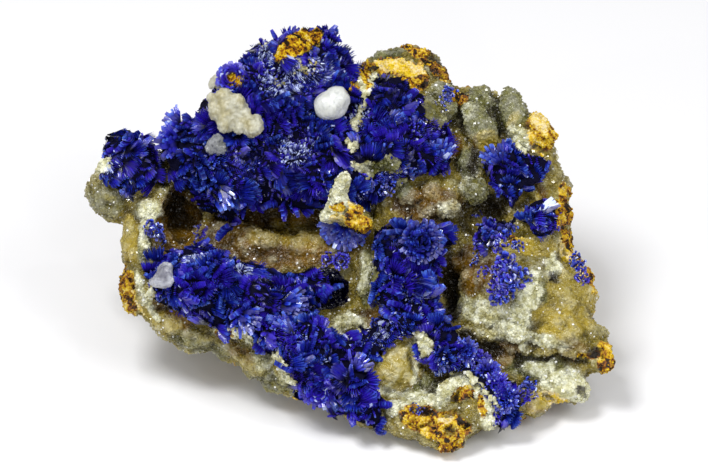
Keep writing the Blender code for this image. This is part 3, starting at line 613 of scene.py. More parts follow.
class Pieces:
    """Makes meshes into pieces of the model."""

    @staticmethod
    def deselect() -> None:
        """Deselects everything, so that the next operator acts on nothing unasked."""
        for thing in bpy.context.selected_objects:
            thing.select_set(False)

    @classmethod
    def activate(cls, thing: bpy.types.Object) -> None:
        """Selects one object alone and makes it active.

        Args:
            thing: the object.
        """
        cls.deselect()
        thing.select_set(True)
        bpy.context.view_layer.objects.active = thing

    @classmethod
    def apply(cls, thing: bpy.types.Object, kind: str, **settings: object) -> None:
        """Adds a modifier and applies it.

        Args:
            thing: the object.
            kind: the modifier's type.
            settings: the modifier's own settings.
        """
        cls.activate(thing)
        added = thing.modifiers.new(kind.lower(), kind)
        for key, value in settings.items():
            setattr(added, key, value)
        bpy.ops.object.modifier_apply(modifier=added.name)

    @classmethod
    def copy_of(cls, node: str, name: str) -> bpy.types.Object:
        """A copy of a CAD node with its loose triangles merged into one mesh.

        Args:
            node: the CAD node's name.
            name: the copy's name.

        Returns:
            The copy.
        """
        made = bpy.data.objects.new(name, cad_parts[node].data.copy())
        bpy.context.scene.collection.objects.link(made)
        made.data.materials.clear()
        cls.activate(made)
        bpy.ops.object.mode_set(mode="EDIT")
        bpy.ops.mesh.select_all(action="SELECT")
        bpy.ops.mesh.remove_doubles(threshold=1e-6)
        bpy.ops.object.mode_set(mode="OBJECT")
        return made

    @staticmethod
    def from_arrays(
        name: str, points: Array, faces: Array, attributes: Mapping[str, Array]
    ) -> bpy.types.Object:
        """A linked object from arrays of corners and of triangles.

        Args:
            name: the object's name.
            points: the corners in metres, one a row.
            faces: three corner numbers a row.
            attributes: a number for each corner, by attribute name.

        Returns:
            The object.
        """
        mesh = bpy.data.meshes.new(name)
        mesh.vertices.add(len(points))
        mesh.vertices.foreach_set("co", points.astype(np.float32).ravel())
        mesh.loops.add(faces.size)
        mesh.loops.foreach_set("vertex_index", faces.astype(np.int32).ravel())
        mesh.polygons.add(len(faces))
        mesh.polygons.foreach_set("loop_start", np.arange(0, faces.size, 3, dtype=np.int32))
        mesh.update(calc_edges=True)
        mesh.shade_flat()
        made = bpy.data.objects.new(name, mesh)
        bpy.context.scene.collection.objects.link(made)
        Pieces.mark(made, attributes)
        return made

    @staticmethod
    def mark(thing: bpy.types.Object, attributes: Mapping[str, Array]) -> None:
        """Writes a number for each corner of the mesh, under each attribute's name."""
        for name, values in attributes.items():
            layer = thing.data.attributes.new(name, "FLOAT", "POINT")
            layer.data.foreach_set("value", np.asarray(values, np.float32))

    @staticmethod
    def finish(
        thing: bpy.types.Object, finish: bpy.types.Material, slot: str, nodes: Sequence[str]
    ) -> None:
        """Dresses a piece, and puts it in the frame.

        Args:
            thing: the piece.
            finish: its material.
            slot: not used.
            nodes: the CAD nodes that it stands for.
        """
        thing.data.materials.clear()
        thing.data.materials.append(finish)
        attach(thing, BODY)
        if nodes:
            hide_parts(*nodes)
        logger.info("%s: %d faces", thing.name, len(thing.data.polygons))


class Wire:
    """A socket of a shader, on which sums are written as Python expressions."""

    def __init__(self, sheet: "Sheet", socket: bpy.types.NodeSocket) -> None:
        """Wraps the socket.

        Args:
            sheet: the shader that it belongs to.
            socket: the output that it reads.
        """
        self.sheet = sheet
        self.socket = socket

    def _sum(self, operation: str, *parts: "Wire | float") -> "Wire":
        """Adds a Math node."""
        return self.sheet.node("ShaderNodeMath", {"operation": operation}, dict(enumerate(parts)))

    def __add__(self, other: "Wire | float") -> "Wire":
        """Adds."""
        return self._sum("ADD", self, other)

    def __sub__(self, other: "Wire | float") -> "Wire":
        """Subtracts."""
        return self._sum("SUBTRACT", self, other)

    def __rsub__(self, other: float) -> "Wire":
        """Subtracts from a number."""
        return self._sum("SUBTRACT", other, self)

    def __mul__(self, other: "Wire | float") -> "Wire":
        """Multiplies."""
        return self._sum("MULTIPLY", self, other)

    __radd__ = __add__
    __rmul__ = __mul__

    def step(self, low: float, high: float) -> "Wire":
        """A smooth step from 0 at low to 1 at high.

        Args:
            low, high: where the step begins and ends; high may be below low.

        Returns:
            The stepped value.
        """
        settings = {"interpolation_type": "SMOOTHSTEP", "clamp": True}
        sockets = {"Value": self, "From Min": low, "From Max": high}
        return self.sheet.node("ShaderNodeMapRange", settings, sockets)


class Sheet:
    """A material and the nodes of its shader."""

    def __init__(self, name: str) -> None:
        """Starts a material with an empty shader and its surface node.

        Args:
            name: the material's name.
        """
        self.material = bpy.data.materials.new(name)
        self.material.use_nodes = True
        self.tree = self.material.node_tree
        self.tree.nodes.clear()
        output = self.tree.nodes.new("ShaderNodeOutputMaterial")
        self.surface = self.tree.nodes.new("ShaderNodeBsdfPrincipled")
        self.tree.links.new(self.surface.outputs[0], output.inputs["Surface"])
        self.place = self.node("ShaderNodeTexCoord", {}, {}, "Object")

    def node(
        self,
        kind: str,
        settings: Mapping[str, object],
        sockets: Mapping[str | int, object],
        output: str | int = 0,
    ) -> Wire:
        """Adds a node.

        Args:
            kind: the node's type.
            settings: its own settings; stops sets a colour ramp's positions and colours.
            sockets: values or wires for its inputs.
            output: which output is wanted.

        Returns:
            A wire from that output.
        """
        made = self.tree.nodes.new(kind)
        for key, value in settings.items():
            if key == "stops":
                self._set_stops(made.color_ramp, value)
            else:
                setattr(made, key, value)
        for key, value in sockets.items():
            self.feed(made.inputs[key], value)
        return Wire(self, made.outputs[output])

    @staticmethod
    def _set_stops(
        scale: bpy.types.ColorRamp, stops: Sequence[tuple[float, Sequence[float]]]
    ) -> None:
        """Gives a colour ramp its stops."""
        while len(scale.elements) < len(stops):
            scale.elements.new(0.5)
        for element, (at, colour) in zip(scale.elements, stops):
            element.position = at
            element.color = (*colour, 1.0)

    def feed(self, socket: bpy.types.NodeSocket, value: object) -> None:
        """Links a wire to an input, or sets its value; a colour gets its alpha."""
        if isinstance(value, Wire):
            self.tree.links.new(value.socket, socket)
        elif socket.type == "RGBA":
            socket.default_value = (*value, 1.0)
        else:
            socket.default_value = value

    def set(self, **sockets: object) -> None:
        """Feeds the surface's own sockets, whose names have _ for a space."""
        for key, value in sockets.items():
            self.feed(self.surface.inputs[key.replace("_", " ")], value)

    def attribute(self, name: str) -> Wire:
        """Reads a number that the mesh carries."""
        return self.node("ShaderNodeAttribute", {"attribute_name": name}, {}, "Fac")

    def cloud(self, size: float, detail: float = 4.0, shift: float = 0.0) -> Wire:
        """Cloudy noise of about 0 to 1.

        Args:
            size: the size of a cloud, in millimetres.
            detail: how many finer sizes are added.
            shift: moves the pattern.

        Returns:
            The noise.
        """
        moved = self.node(
            "ShaderNodeVectorMath", {"operation": "ADD"}, {0: self.place, 1: (shift,) * 3}
        )
        sockets = {"Vector": moved, "Scale": 1 / (size * MM), "Detail": detail}
        return self.node("ShaderNodeTexNoise", {}, sockets, "Fac")

    def cells(self, size: float) -> Wire:
        """A pattern of cells of that size in millimetres: 0 in the middle of each."""
        sockets = {"Vector": self.place, "Scale": 1 / (size * MM)}
        return self.node("ShaderNodeTexVoronoi", {}, sockets, "Distance")

    def blend(self, share: Wire | float, low: object, high: object) -> Wire:
        """A colour between low and high.

        Args:
            share: 0 for low, 1 for high.
            low, high: colours, or wires that carry them.

        Returns:
            The colour.
        """
        settings = {"data_type": "RGBA", "clamp_factor": True}
        return self.node("ShaderNodeMix", settings, {0: share, 6: low, 7: high}, 2)

    def bump(self, height: Wire, distance_mm: float, strength: float = 1.0) -> Wire:
        """Turns a height into a normal."""
        sockets = {"Height": height, "Distance": distance_mm * MM, "Strength": strength}
        return self.node("ShaderNodeBump", {}, sockets)


class Texture(Enum):
    """What a finish of the rock is laid on."""

    SKIN = "skin"
    BED = "bed"
    CRYSTAL = "crystal"
    CRUMB = "crumb"


# Where each zone's colour begins, where it is full, and how ragged its edge is.
EDGES: dict[Zone, tuple[float, float, float]] = {
    Zone.AMBER: (0.0, 0.9, 1.0), Zone.GREEN: (0.0, 0.9, 1.0), Zone.GOLD: (0.0, 0.9, 1.0),
    Zone.PALE: (0.0, 1.0, 1.0), Zone.LIMONITE: (0.35, 0.6, 0.6), Zone.CREAM: (0.35, 0.7, 0.6),
    Zone.AZURE: (0.35, 0.6, 0.6),
}


@dataclass(frozen=True)
class CrustFinish:
    """The rock: druzy smithsonite in its colours, and earthy limonite."""

    olive: Colour = (98, 86, 14)
    tan: Colour = (144, 127, 46)
    amber: Colour = (122, 90, 16)
    umber: Colour = (78, 55, 18)
    green: Colour = (94, 94, 40)
    moss: Colour = (58, 57, 32)
    gold: Colour = (166, 144, 42)
    pale: Colour = (236, 236, 208)
    mist: Colour = (184, 180, 130)
    # glint is the white of a painted glint on a few druze crystals.
    glint: Colour = (252, 252, 246)
    yellow: Colour = (216, 184, 22)
    ochre: Colour = (176, 130, 12)
    rust: Colour = (128, 72, 14)
    pit: Colour = (34, 24, 10)
    cream: Colour = (228, 212, 164)
    # shade is the colour of painted shade: hollows, dark patches and dim crystals.
    shade: Colour = (30, 22, 12)
    # The darkest blue is azurite painted darker than its own colour, as the shade under and between
    # its blades.
    shaded_azurite: Colour = (4, 3, 30)

    def build(self, texture: Texture) -> bpy.types.Material:
        """Makes the material for one kind of surface.

        Args:
            texture: what the finish is laid on.

        Returns:
            The material.
        """
        sheet = Sheet("rock_" + texture.value)
        earth = sheet.attribute(Zone.LIMONITE.value)
        specks = sheet.cloud(0.3, 3.0, shift=0.6)
        sheet.set(Base_Color=self._colour(sheet, texture, specks), IOR=1.6)
        if texture is Texture.CRUMB:
            rough = specks * 0.5 + 0.5
            sheet.set(Roughness=rough, Normal=sheet.bump(specks, 0.12), Specular_IOR_Level=0.12)
            return sheet.material
        if texture is Texture.BED:
            sheet.set(Roughness=0.8, Normal=sheet.bump(specks, 0.3), Specular_IOR_Level=0.08)
            return sheet.material
        sheet.set(
            Subsurface_Weight=0.25,
            Subsurface_Radius=(0.9, 0.8, 0.5),
            Subsurface_Scale=0.7 * MM,
        )
        if texture is Texture.CRYSTAL:
            gloss = sheet.attribute("chance").step(1.0, 0.2) * 0.4 + 0.05
            sheet.set(Roughness=gloss, Specular_IOR_Level=0.4)
        else:
            facets = sheet.cells(0.4) * (1.0 - earth) + specks
            sheet.set(Roughness=earth * 0.6 + 0.16, Normal=sheet.bump(facets, 0.16))
            sheet.set(Specular_IOR_Level=0.35)
        return sheet.material

    def _colour(self, sheet: Sheet, texture: Texture, specks: Wire) -> Wire:
        """The colour, from the zones that the mesh carries, with painted shade in hollows and dark
        patches, azurite in its shaded blue, painted highlights on knob tops and painted glints on a
        few crystals.

        Args:
            sheet: the shader.
            texture: what the finish is laid on.
            specks: the finest noise.

        Returns:
            The colour.
        """
        broad, fine = sheet.cloud(2.6), sheet.cloud(0.8, shift=0.3)
        chance = sheet.attribute("chance")

        def two(first: Colour, second: Colour, by: Wire) -> Wire:
            """A colour that wanders between two."""
            return sheet.blend(by.step(0.35, 0.65), srgb(*first), srgb(*second))

        def zone(which: Zone) -> Wire:
            """A zone's share, with a ragged edge."""
            low, high, ragged = EDGES[which]
            return (sheet.attribute(which.value) + (fine - 0.5) * ragged).step(low, high)

        colour = two(self.olive, self.tan, broad)
        amber, green = two(self.amber, self.umber, broad), two(self.green, self.moss, fine)
        colour = sheet.blend(zone(Zone.AMBER), colour, amber)
        colour = sheet.blend(zone(Zone.GREEN), colour, green)
        gold = two(self.gold, self.tan, broad)
        colour = sheet.blend(zone(Zone.GOLD), colour, gold)
        pale = two(self.mist, self.pale, fine)
        # Painted highlight: knob tops, where the skin stands above its smoothed shape, are
        # lightened towards the pale colour.
        knob = sheet.attribute("hollow").step(0.0, -0.16) * 0.2
        colour = sheet.blend(knob, colour, pale)
        colour = sheet.blend(zone(Zone.PALE) * 0.95, colour, pale)
        grit = self._grit(sheet, chance, specks)
        stops = [
            (0.36, srgb(*self.pit)), (0.44, srgb(*self.rust)), (0.5, srgb(*self.ochre)),
            (0.6, srgb(*self.yellow)), (0.78, srgb(*self.cream)),
        ]
        earth = sheet.node("ShaderNodeValToRGB", {"stops": stops}, {"Fac": grit})
        colour = sheet.blend(zone(Zone.LIMONITE), colour, earth)
        cream = two(self.yellow, self.cream, grit)
        colour = sheet.blend(zone(Zone.CREAM), colour, cream)
        if texture is Texture.CRYSTAL:
            # Painted light on the crystals: some are lighter and some darker at random, as facets
            # lit and shaded, and a few get the white of a painted glint.
            colour = sheet.blend(chance.step(0.4, 1.0) * 0.12, colour, srgb(*self.pale))
            colour = sheet.blend(chance.step(0.4, 0.0) * 0.4, colour, srgb(*self.shade))
            colour = sheet.blend(chance.step(0.95, 0.96) * 0.9, colour, srgb(*self.glint))
        # Painted shade: the colour darkens towards the shade colour in the skin's hollows.
        hollow = sheet.attribute("hollow").step(0.02, 0.3) * 0.7
        colour = sheet.blend(hollow, colour, srgb(*self.shade))
        # Painted shade: the dark zone darkens the colour towards the shade colour.
        colour = sheet.blend(sheet.attribute(Zone.DARK.value) * 0.9, colour, srgb(*self.shade))
        # Painted shade: where azurite lies, the colour becomes its darkest, shaded blue.
        return sheet.blend(zone(Zone.AZURE), colour, srgb(*self.shaded_azurite))

    @staticmethod
    def _grit(sheet: Sheet, chance: Wire, specks: Wire) -> Wire:
        """What picks the colour of the limonite.

        Args:
            sheet: the shader.
            chance: a random number for each crumb.
            specks: the finest noise.

        Returns:
            A number that is low in the pits and high on the bright crumbs.
        """
        pits = sheet.cloud(1.2, 2.0, 0.2).step(0.42, 0.36) * 0.2
        grit = chance * 0.2 + sheet.cloud(0.9, 5.0, 0.7) * 0.8 + (specks - 0.5) * 0.5 - pits
        return grit + sheet.attribute(Zone.GOLD.value) * 0.06


@dataclass(frozen=True)
class AzuriteFinish:
    """Azurite: deep blue glass, with painted shade at the feet of its blades, painted highlights
    along their edges and painted white glints on a few.
    """

    # The near-black is painted shade at the foot of each blade.
    foot_shade: Colour = (2, 1, 26)
    deep: Colour = (14, 10, 104)
    royal: Colour = (30, 50, 188)
    violet: Colour = (53, 33, 188)
    # The light blue is a painted highlight on the blades' tips.
    edge: Colour = (96, 136, 228)
    # The white is real frosting, and also the colour of the painted glints.
    frost: Colour = (196, 208, 244)

    def build(self) -> bpy.types.Material:
        """Makes the material."""
        sheet = Sheet("azurite_glass")
        tip, chance = sheet.attribute("tip"), sheet.attribute("chance")
        family = sheet.attribute("family")
        body = sheet.blend(family.step(0.3, 0.7), srgb(*self.royal), srgb(*self.violet))
        body = sheet.blend((chance + family * 0.6).step(0.1, 1.2), srgb(*self.deep), body)
        # Painted shade: each blade darkens towards its foot, where the blades shade one another.
        body = sheet.blend(tip.step(0.2, 0.75), srgb(*self.foot_shade), body)
        # Painted highlight: some blade tips are lightened, as thin edges catching the light.
        edge_highlight = tip.step(0.7, 1.0) * (chance - family * 0.4).step(0.2, 0.9) * 0.75
        colour = sheet.blend(edge_highlight, body, srgb(*self.edge))
        # White at the tips: real frosting where the frost zone lies, with a painted glint on blades
        # of high chance; spark paints white glints on a few more blade tips.
        frost = (sheet.attribute("frost") * 0.6 + chance - 0.96).step(0.0, 0.3)
        spark = chance.step(0.965, 0.97) * tip.step(0.4, 0.7) * 0.85
        colour = sheet.blend(frost + spark, colour, srgb(*self.frost))
        grain = sheet.cloud(0.3, 3.0)
        sheet.set(
            Base_Color=colour,
            Roughness=grain * 0.3 + chance.step(1.0, 0.0) * 0.3,
            Normal=sheet.bump(grain, 0.03, 0.5),
            IOR=1.73,
        )
        return sheet.material


@dataclass(frozen=True)
class CalciteFinish:
    """Milky calcite: translucent, with warm or grey clouds inside."""

    name: str
    body: Colour
    cloud: Colour
    vein: Colour
    clear: float = 0.0
    rough: float = 0.2

    def build(self) -> bpy.types.Material:
        """Makes the material."""
        sheet = Sheet(self.name)
        clouds = sheet.cloud(1.4, 3.0)
        grain = sheet.cloud(0.35, 3.0, shift=0.4)
        colour = sheet.blend(clouds.step(0.4, 0.66), srgb(*self.body), srgb(*self.cloud))
        colour = sheet.blend(grain.step(0.5, 0.72) * 0.6, colour, srgb(*self.vein))
        sheet.set(
            Base_Color=colour,
            Roughness=grain * 0.25 + self.rough - 0.1,
            Normal=sheet.bump(grain, 0.1, 0.8),
            IOR=1.6,
            Transmission_Weight=self.clear,
            Subsurface_Weight=0.7,
            Subsurface_Radius=(1.0, 1.0, 0.9),
            Subsurface_Scale=1.0 * MM,
        )
        return sheet.material


class Calcite(Enum):
    """The looks of the pale grains."""

    WHITE = CalciteFinish(
        "calcite_white", (222, 224, 222), (202, 204, 198), (180, 183, 182), clear=0.15
    )
    CREAM = CalciteFinish(
        "calcite_cream", (206, 204, 184), (184, 176, 136), (160, 152, 114), clear=0.3, rough=0.4
    )
    GREY = CalciteFinish(
        "calcite_grey", (186, 188, 196), (128, 128, 140), (92, 90, 110), clear=0.2, rough=0.3
    )
    SMOKE = CalciteFinish(
        "calcite_smoke", (150, 152, 156), (112, 114, 114), (90, 92, 98), clear=0.3
    )


@dataclass(frozen=True)
class FloorFinish:
    """The plain pale floor."""

    white: Colour = (234, 234, 236)

    def build(self) -> bpy.types.Material:
        """Makes the material."""
        sheet = Sheet("floor_white")
        sheet.set(Base_Color=srgb(*self.white), Roughness=0.9)
        return sheet.material


@dataclass
class Matrix3:
    """Turning frames for many small things at once: three unit directions for each."""

    side: Array
    front: Array
    up: Array

    @classmethod
    def about(cls, normals: Array, angles: Array) -> "Matrix3":
        """Frames whose up is the normal, turned about it by the angles.

        Args:
            normals: the up directions.
            angles: the turns in radians.

        Returns:
            The frames.
        """
        aside = np.where(np.abs(normals[:, 2:3]) < 0.9, [[0.0, 0.0, 1.0]], [[1.0, 0.0, 0.0]])
        first = unit(np.cross(aside, normals))
        second = np.cross(normals, first)
        c, s = np.cos(angles)[:, None], np.sin(angles)[:, None]
        return cls(first * c + second * s, second * c - first * s, normals)

    def tilted(self, angles: Array) -> "Matrix3":
        """The frames leaned about their side direction by the angles."""
        c, s = np.cos(angles)[:, None], np.sin(angles)[:, None]
        return Matrix3(self.side, self.front * c - self.up * s, self.up * c + self.front * s)

    def laid(self, angles: Array) -> "Matrix3":
        """The frames leaned about their front direction by the angles."""
        c, s = np.cos(angles)[:, None], np.sin(angles)[:, None]
        return Matrix3(self.side * c - self.up * s, self.front, self.up * c + self.side * s)

    def turned(self, angles: Array) -> "Matrix3":
        """The frames turned about their up direction by the angles."""
        c, s = np.cos(angles)[:, None], np.sin(angles)[:, None]
        return Matrix3(self.side * c + self.front * s, self.front * c - self.side * s, self.up)

    def take(self, index: Array) -> "Matrix3":
        """The frames of those numbers."""
        return Matrix3(self.side[index], self.front[index], self.up[index])

    def stamp(
        self, shape: "Shape", places: Array, sizes: Array, bends: Array | None = None
    ) -> tuple[Array, Array]:
        """Copies a shape into every frame.

        Args:
            shape: what is copied.
            places: where each copy's foot goes, in metres.
            sizes: each copy's width, thickness and height in metres, one a row.
            bends: how far each copy's two sides are bent forward, in metres.

        Returns:
            The corners and the triangles of all the copies.
        """
        scaled = shape.points[None, :, :] * sizes[:, None, :]
        if bends is not None:
            scaled[:, :, 1] += bends[:, None] * (4 * shape.points[:, 0] ** 2)[None, :]
        points = (
            places[:, None, :]
            + scaled[:, :, 0:1] * self.side[:, None, :]
            + scaled[:, :, 1:2] * self.front[:, None, :]
            + scaled[:, :, 2:3] * self.up[:, None, :]
        )
        steps = np.arange(len(places))[:, None, None] * len(shape.points)
        return points.reshape(-1, 3), (shape.triangles[None] + steps).reshape(-1, 3)


@dataclass
class Shape:
    """A small shape, one unit wide, thick and high, with its foot at the origin."""

    points: Array
    triangles: Array

    @classmethod
    def _taken_from(cls, thing: bpy.types.Object) -> "Shape":
        """Reads the shape of an object, which is then removed.

        Args:
            thing: the object.

        Returns:
            The shape.
        """
        skin = Skin(thing.data)
        bpy.data.objects.remove(thing)
        return cls(skin.points, skin.triangles)

    @classmethod
    def blade(cls) -> "Shape":
        """One crystal blade: a five-sided plate on a narrow foot, thickest in its middle."""
        Pieces.deselect()
        bpy.ops.mesh.primitive_cone_add(
            vertices=5, radius1=0.5, radius2=0.0, depth=0.5, end_fill_type="TRIFAN",
            location=(0.0, 0.0, 0.25), rotation=(math.pi, 0.0, 0.0),
        )
        bpy.ops.object.transform_apply(location=True, rotation=True)
        made = cls._taken_from(bpy.context.object)
        out, up, height = made.points.T.copy()
        middle = np.hypot(out, up) < 0.01
        height = np.where(middle, np.where(height > 0.25, 0.5, -0.5), 0.0)
        up = (up - up.min()) / (up.max() - up.min())
        made.points = np.stack([out, -height, up ** 0.6], axis=1)
        return made

    @classmethod
    def grain(cls) -> "Shape":
        """One druze crystal: a rhomb that stands on a corner, sunk so that its top shows."""
        Pieces.deselect()
        bpy.ops.mesh.primitive_cube_add(size=1.0)
        made = cls._taken_from(bpy.context.object)
        across, tall = Vector((1, 1, 1)), Vector((0, 0, 1))
        turn = np.array(across.rotation_difference(tall).to_matrix())
        made.points = made.points @ turn.T * 0.8
        return made

    @classmethod
    def crumb(cls) -> "Shape":
        """One crumb of limonite: a lump with few faces."""
        Pieces.deselect()
        bpy.ops.mesh.primitive_ico_sphere_add(subdivisions=1, radius=0.5)
        return cls._taken_from(bpy.context.object)


def refine(piece: bpy.types.Object, voxel_mm: float, rounds: int) -> None:
    """Turns a coarse copy of a CAD node into a fine, even skin.

    Args:
        piece: the copy.
        voxel_mm: how fine the skin is.
        rounds: how often it is smoothed.
    """
    Pieces.apply(piece, "REMESH", mode="VOXEL", voxel_size=voxel_mm * MM)
    if rounds:
        Pieces.apply(piece, "SMOOTH", factor=0.5, iterations=rounds)


def move(piece: bpy.types.Object, skin: Skin, height_mm: Array) -> Skin:
    """Moves a fine skin in and out along its normals, and keeps its foot on the ground.

    Args:
        piece: the object whose mesh is moved.
        skin: its arrays.
        height_mm: how far each corner moves.

    Returns:
        The arrays of the moved skin.
    """
    height = height_mm * ramp(skin.points[:, 2], 0.0, 1.2 * MM)
    points = skin.points + skin.normals * (height * MM)[:, None]
    points[:, 2] = np.maximum(points[:, 2], 0.0)
    piece.data.vertices.foreach_set("co", points.astype(np.float32).ravel())
    piece.data.update()
    piece.data.shade_smooth()
    return Skin(piece.data)


@dataclass(frozen=True)
class Relief:
    """The rock's own texture: how high each kind of bump is, and its size, in millimetres.

    back_swell is how much more the back swells, and knob_edge how far from a knob's middle its
    height passes zero, as a share of its size.
    """

    knob: float = 0.8
    knob_size: float = 2.2
    bead: float = 0.35
    bead_size: float = 1.0
    crumb: float = 0.55
    crumb_size: float = 1.2
    pit: float = 0.5
    swell: float = 0.4
    swell_size: float = 4.0
    back_swell: float = 0.7
    ledge: float = 1.4
    ledge_size: float = 5.5
    knob_edge: float = 0.45

    def height(self, points: Array, zones: Mapping[Zone, Array], hidden: Array) -> Array:
        """How high the texture is: knobs on smithsonite, pits and crumbs on limonite.

        Args:
            points: the places in metres.
            zones: what the skin is made of.
            hidden: how far each place is turned away from the camera, 0 to 1.

        Returns:
            The height of each place, in millimetres.
        """
        earthy = ramp(zones[Zone.LIMONITE], 0.2, 0.6)
        knobs = (self.knob_edge - Noise.cells(points, self.knob_size)) * self.knob
        beads = (self.knob_edge - Noise.cells(points, self.bead_size, 4.0)) * self.bead
        pits = ramp(Noise.cells(points, self.crumb_size, 8.0), 0.4, 0.1) * self.pit
        crumbs = Noise.cloud(points, self.crumb_size, 4.0, 2.0) * self.crumb - pits
        swell = Noise.cloud(points, self.swell_size, 2.0, 5.0)
        swell = swell * (self.swell + self.back_swell * hidden)
        ledges = np.abs(Noise.cloud(points, self.ledge_size, 3.0, 6.0)) * self.ledge * hidden
        return swell - ledges + (knobs + beads) * (1.0 - earthy) + crumbs * earthy


RELIEF = Relief()


def surface_marks(skin: Skin, zones: Mapping[Zone, Array], rounds: int) -> dict[str, Array]:
    """What the corners of a rocky skin carry for its shader.

    Args:
        skin: the skin.
        zones: what it is made of.
        rounds: how wide a hollow may be to count as one.

    Returns:
        The numbers, by attribute name.
    """
    marks = {zone.value: zones[zone] for zone in SKIN_ZONES}
    marks["hollow"] = skin.depth(rounds)
    marks["chance"] = 0.5 + 0.5 * np.clip(Noise.cloud(skin.points, 0.5, 2.0, 3.0), -1, 1)
    return marks


@dataclass
class Cover:
    """What lies on a skin: druze crystals on the smithsonite, crumbs on the limonite.

    closeness is how near two of them may be, as a share of their size, and thinned how much of
    the druzy ground is covered. lean is how far crystals lean, in radians. Those whose chance is
    past glinting are smaller and lean further, and nearly all of them are painted white as a
    painted glint.
    """

    finishes: dict[Texture, bpy.types.Material]
    closeness: float = 0.85
    thinned: float = 0.75
    lean: float = 0.45
    glinting: float = 0.94
    glint_size: float = 0.75
    glint_lean: float = 0.5

    def strew(
        self, name: str, slot: str, texture: Texture, skin: Skin, marks: Mapping[str, Array],
        share: Array, size_mm: float, rng: np.random.Generator, pieces: int = 1,
    ) -> None:
        """Strews part of a skin with small crystals or crumbs, which carry its marks.

        Args:
            name: the pieces' name, which gets a number.
            slot: not used, though passed on.
            texture: CRYSTAL or CRUMB.
            skin: what they stand or lie on.
            marks: what its corners carry.
            share: how much of it is covered, for each corner.
            size_mm: the size of a middling one.
            rng: where the random numbers come from.
            pieces: how many pieces they are shared out over.
        """
        crystal = texture is Texture.CRYSTAL
        share = (self.thinned if crystal else 1.0) * share * ramp(skin.points[:, 2], 0, MM)
        spots = skin.scatter(size_mm * self.closeness, rng, share)
        total = len(spots.places)
        if not total:
            return
        shape = Shape.grain() if crystal else Shape.crumb()
        sizes = self._sizes(texture, spots, marks, size_mm, rng)
        frames = Matrix3.about(spots.normals, rng.uniform(0, 2 * math.pi, total))
        lean = rng.normal(0.0, self.lean, total) if crystal else rng.uniform(0, 3, total)
        frames = frames.tilted(lean).turned(rng.uniform(0, 3, total))
        chance = rng.random(total)
        if crystal:
            glints = chance > self.glinting
            sizes = sizes * np.where(glints, self.glint_size, 1.0)[:, None]
            frames = frames.tilted(np.where(glints, self.glint_lean, 0.0))
        cuts = np.linspace(0, total, pieces + 1).astype(int)
        for number, (first, last) in enumerate(zip(cuts, cuts[1:]), 1):
            part = np.arange(first, last)
            points, faces = frames.take(part).stamp(shape, spots.places[part], sizes[part])
            points[:, 2] = np.maximum(points[:, 2], 0.0)
            some, corners = spots.take(part), len(shape.points)
            carried = {
                key: np.repeat(some.read(values), corners) for key, values in marks.items()
            }
            carried["chance"] = np.repeat(chance[part], corners)
            piece = Pieces.from_arrays(f"{name}_{number}", points, faces, carried)
            Pieces.finish(piece, self.finishes[texture], slot, [])

    @staticmethod
    def _sizes(
        texture: Texture, spots: Spots, marks: Mapping[str, Array], size_mm: float,
        rng: np.random.Generator,
    ) -> Array:
        """The sizes of crystals or crumbs; crystals are larger where the crust is pale.

        Args:
            texture: CRYSTAL or CRUMB.
            spots: where they stand or lie.
            marks: what the skin's corners carry.
            size_mm: the size of a middling one.
            rng: where the random numbers come from.

        Returns:
            The width, thickness and height of each in metres, one a row.
        """
        count = len(spots.places)
        if texture is Texture.CRUMB:
            sizes = size_mm * rng.uniform(0.4, 1.4, (count, 1)) * rng.uniform(0.6, 1.2, (count, 3))
            return sizes * MM
        size = size_mm * rng.uniform(0.7, 1.4, count) * MM
        size = size * (1.0 + 0.4 * spots.read(marks[Zone.PALE.value]))
        return np.stack([size, size, size * rng.uniform(0.5, 0.9, count)], axis=1)


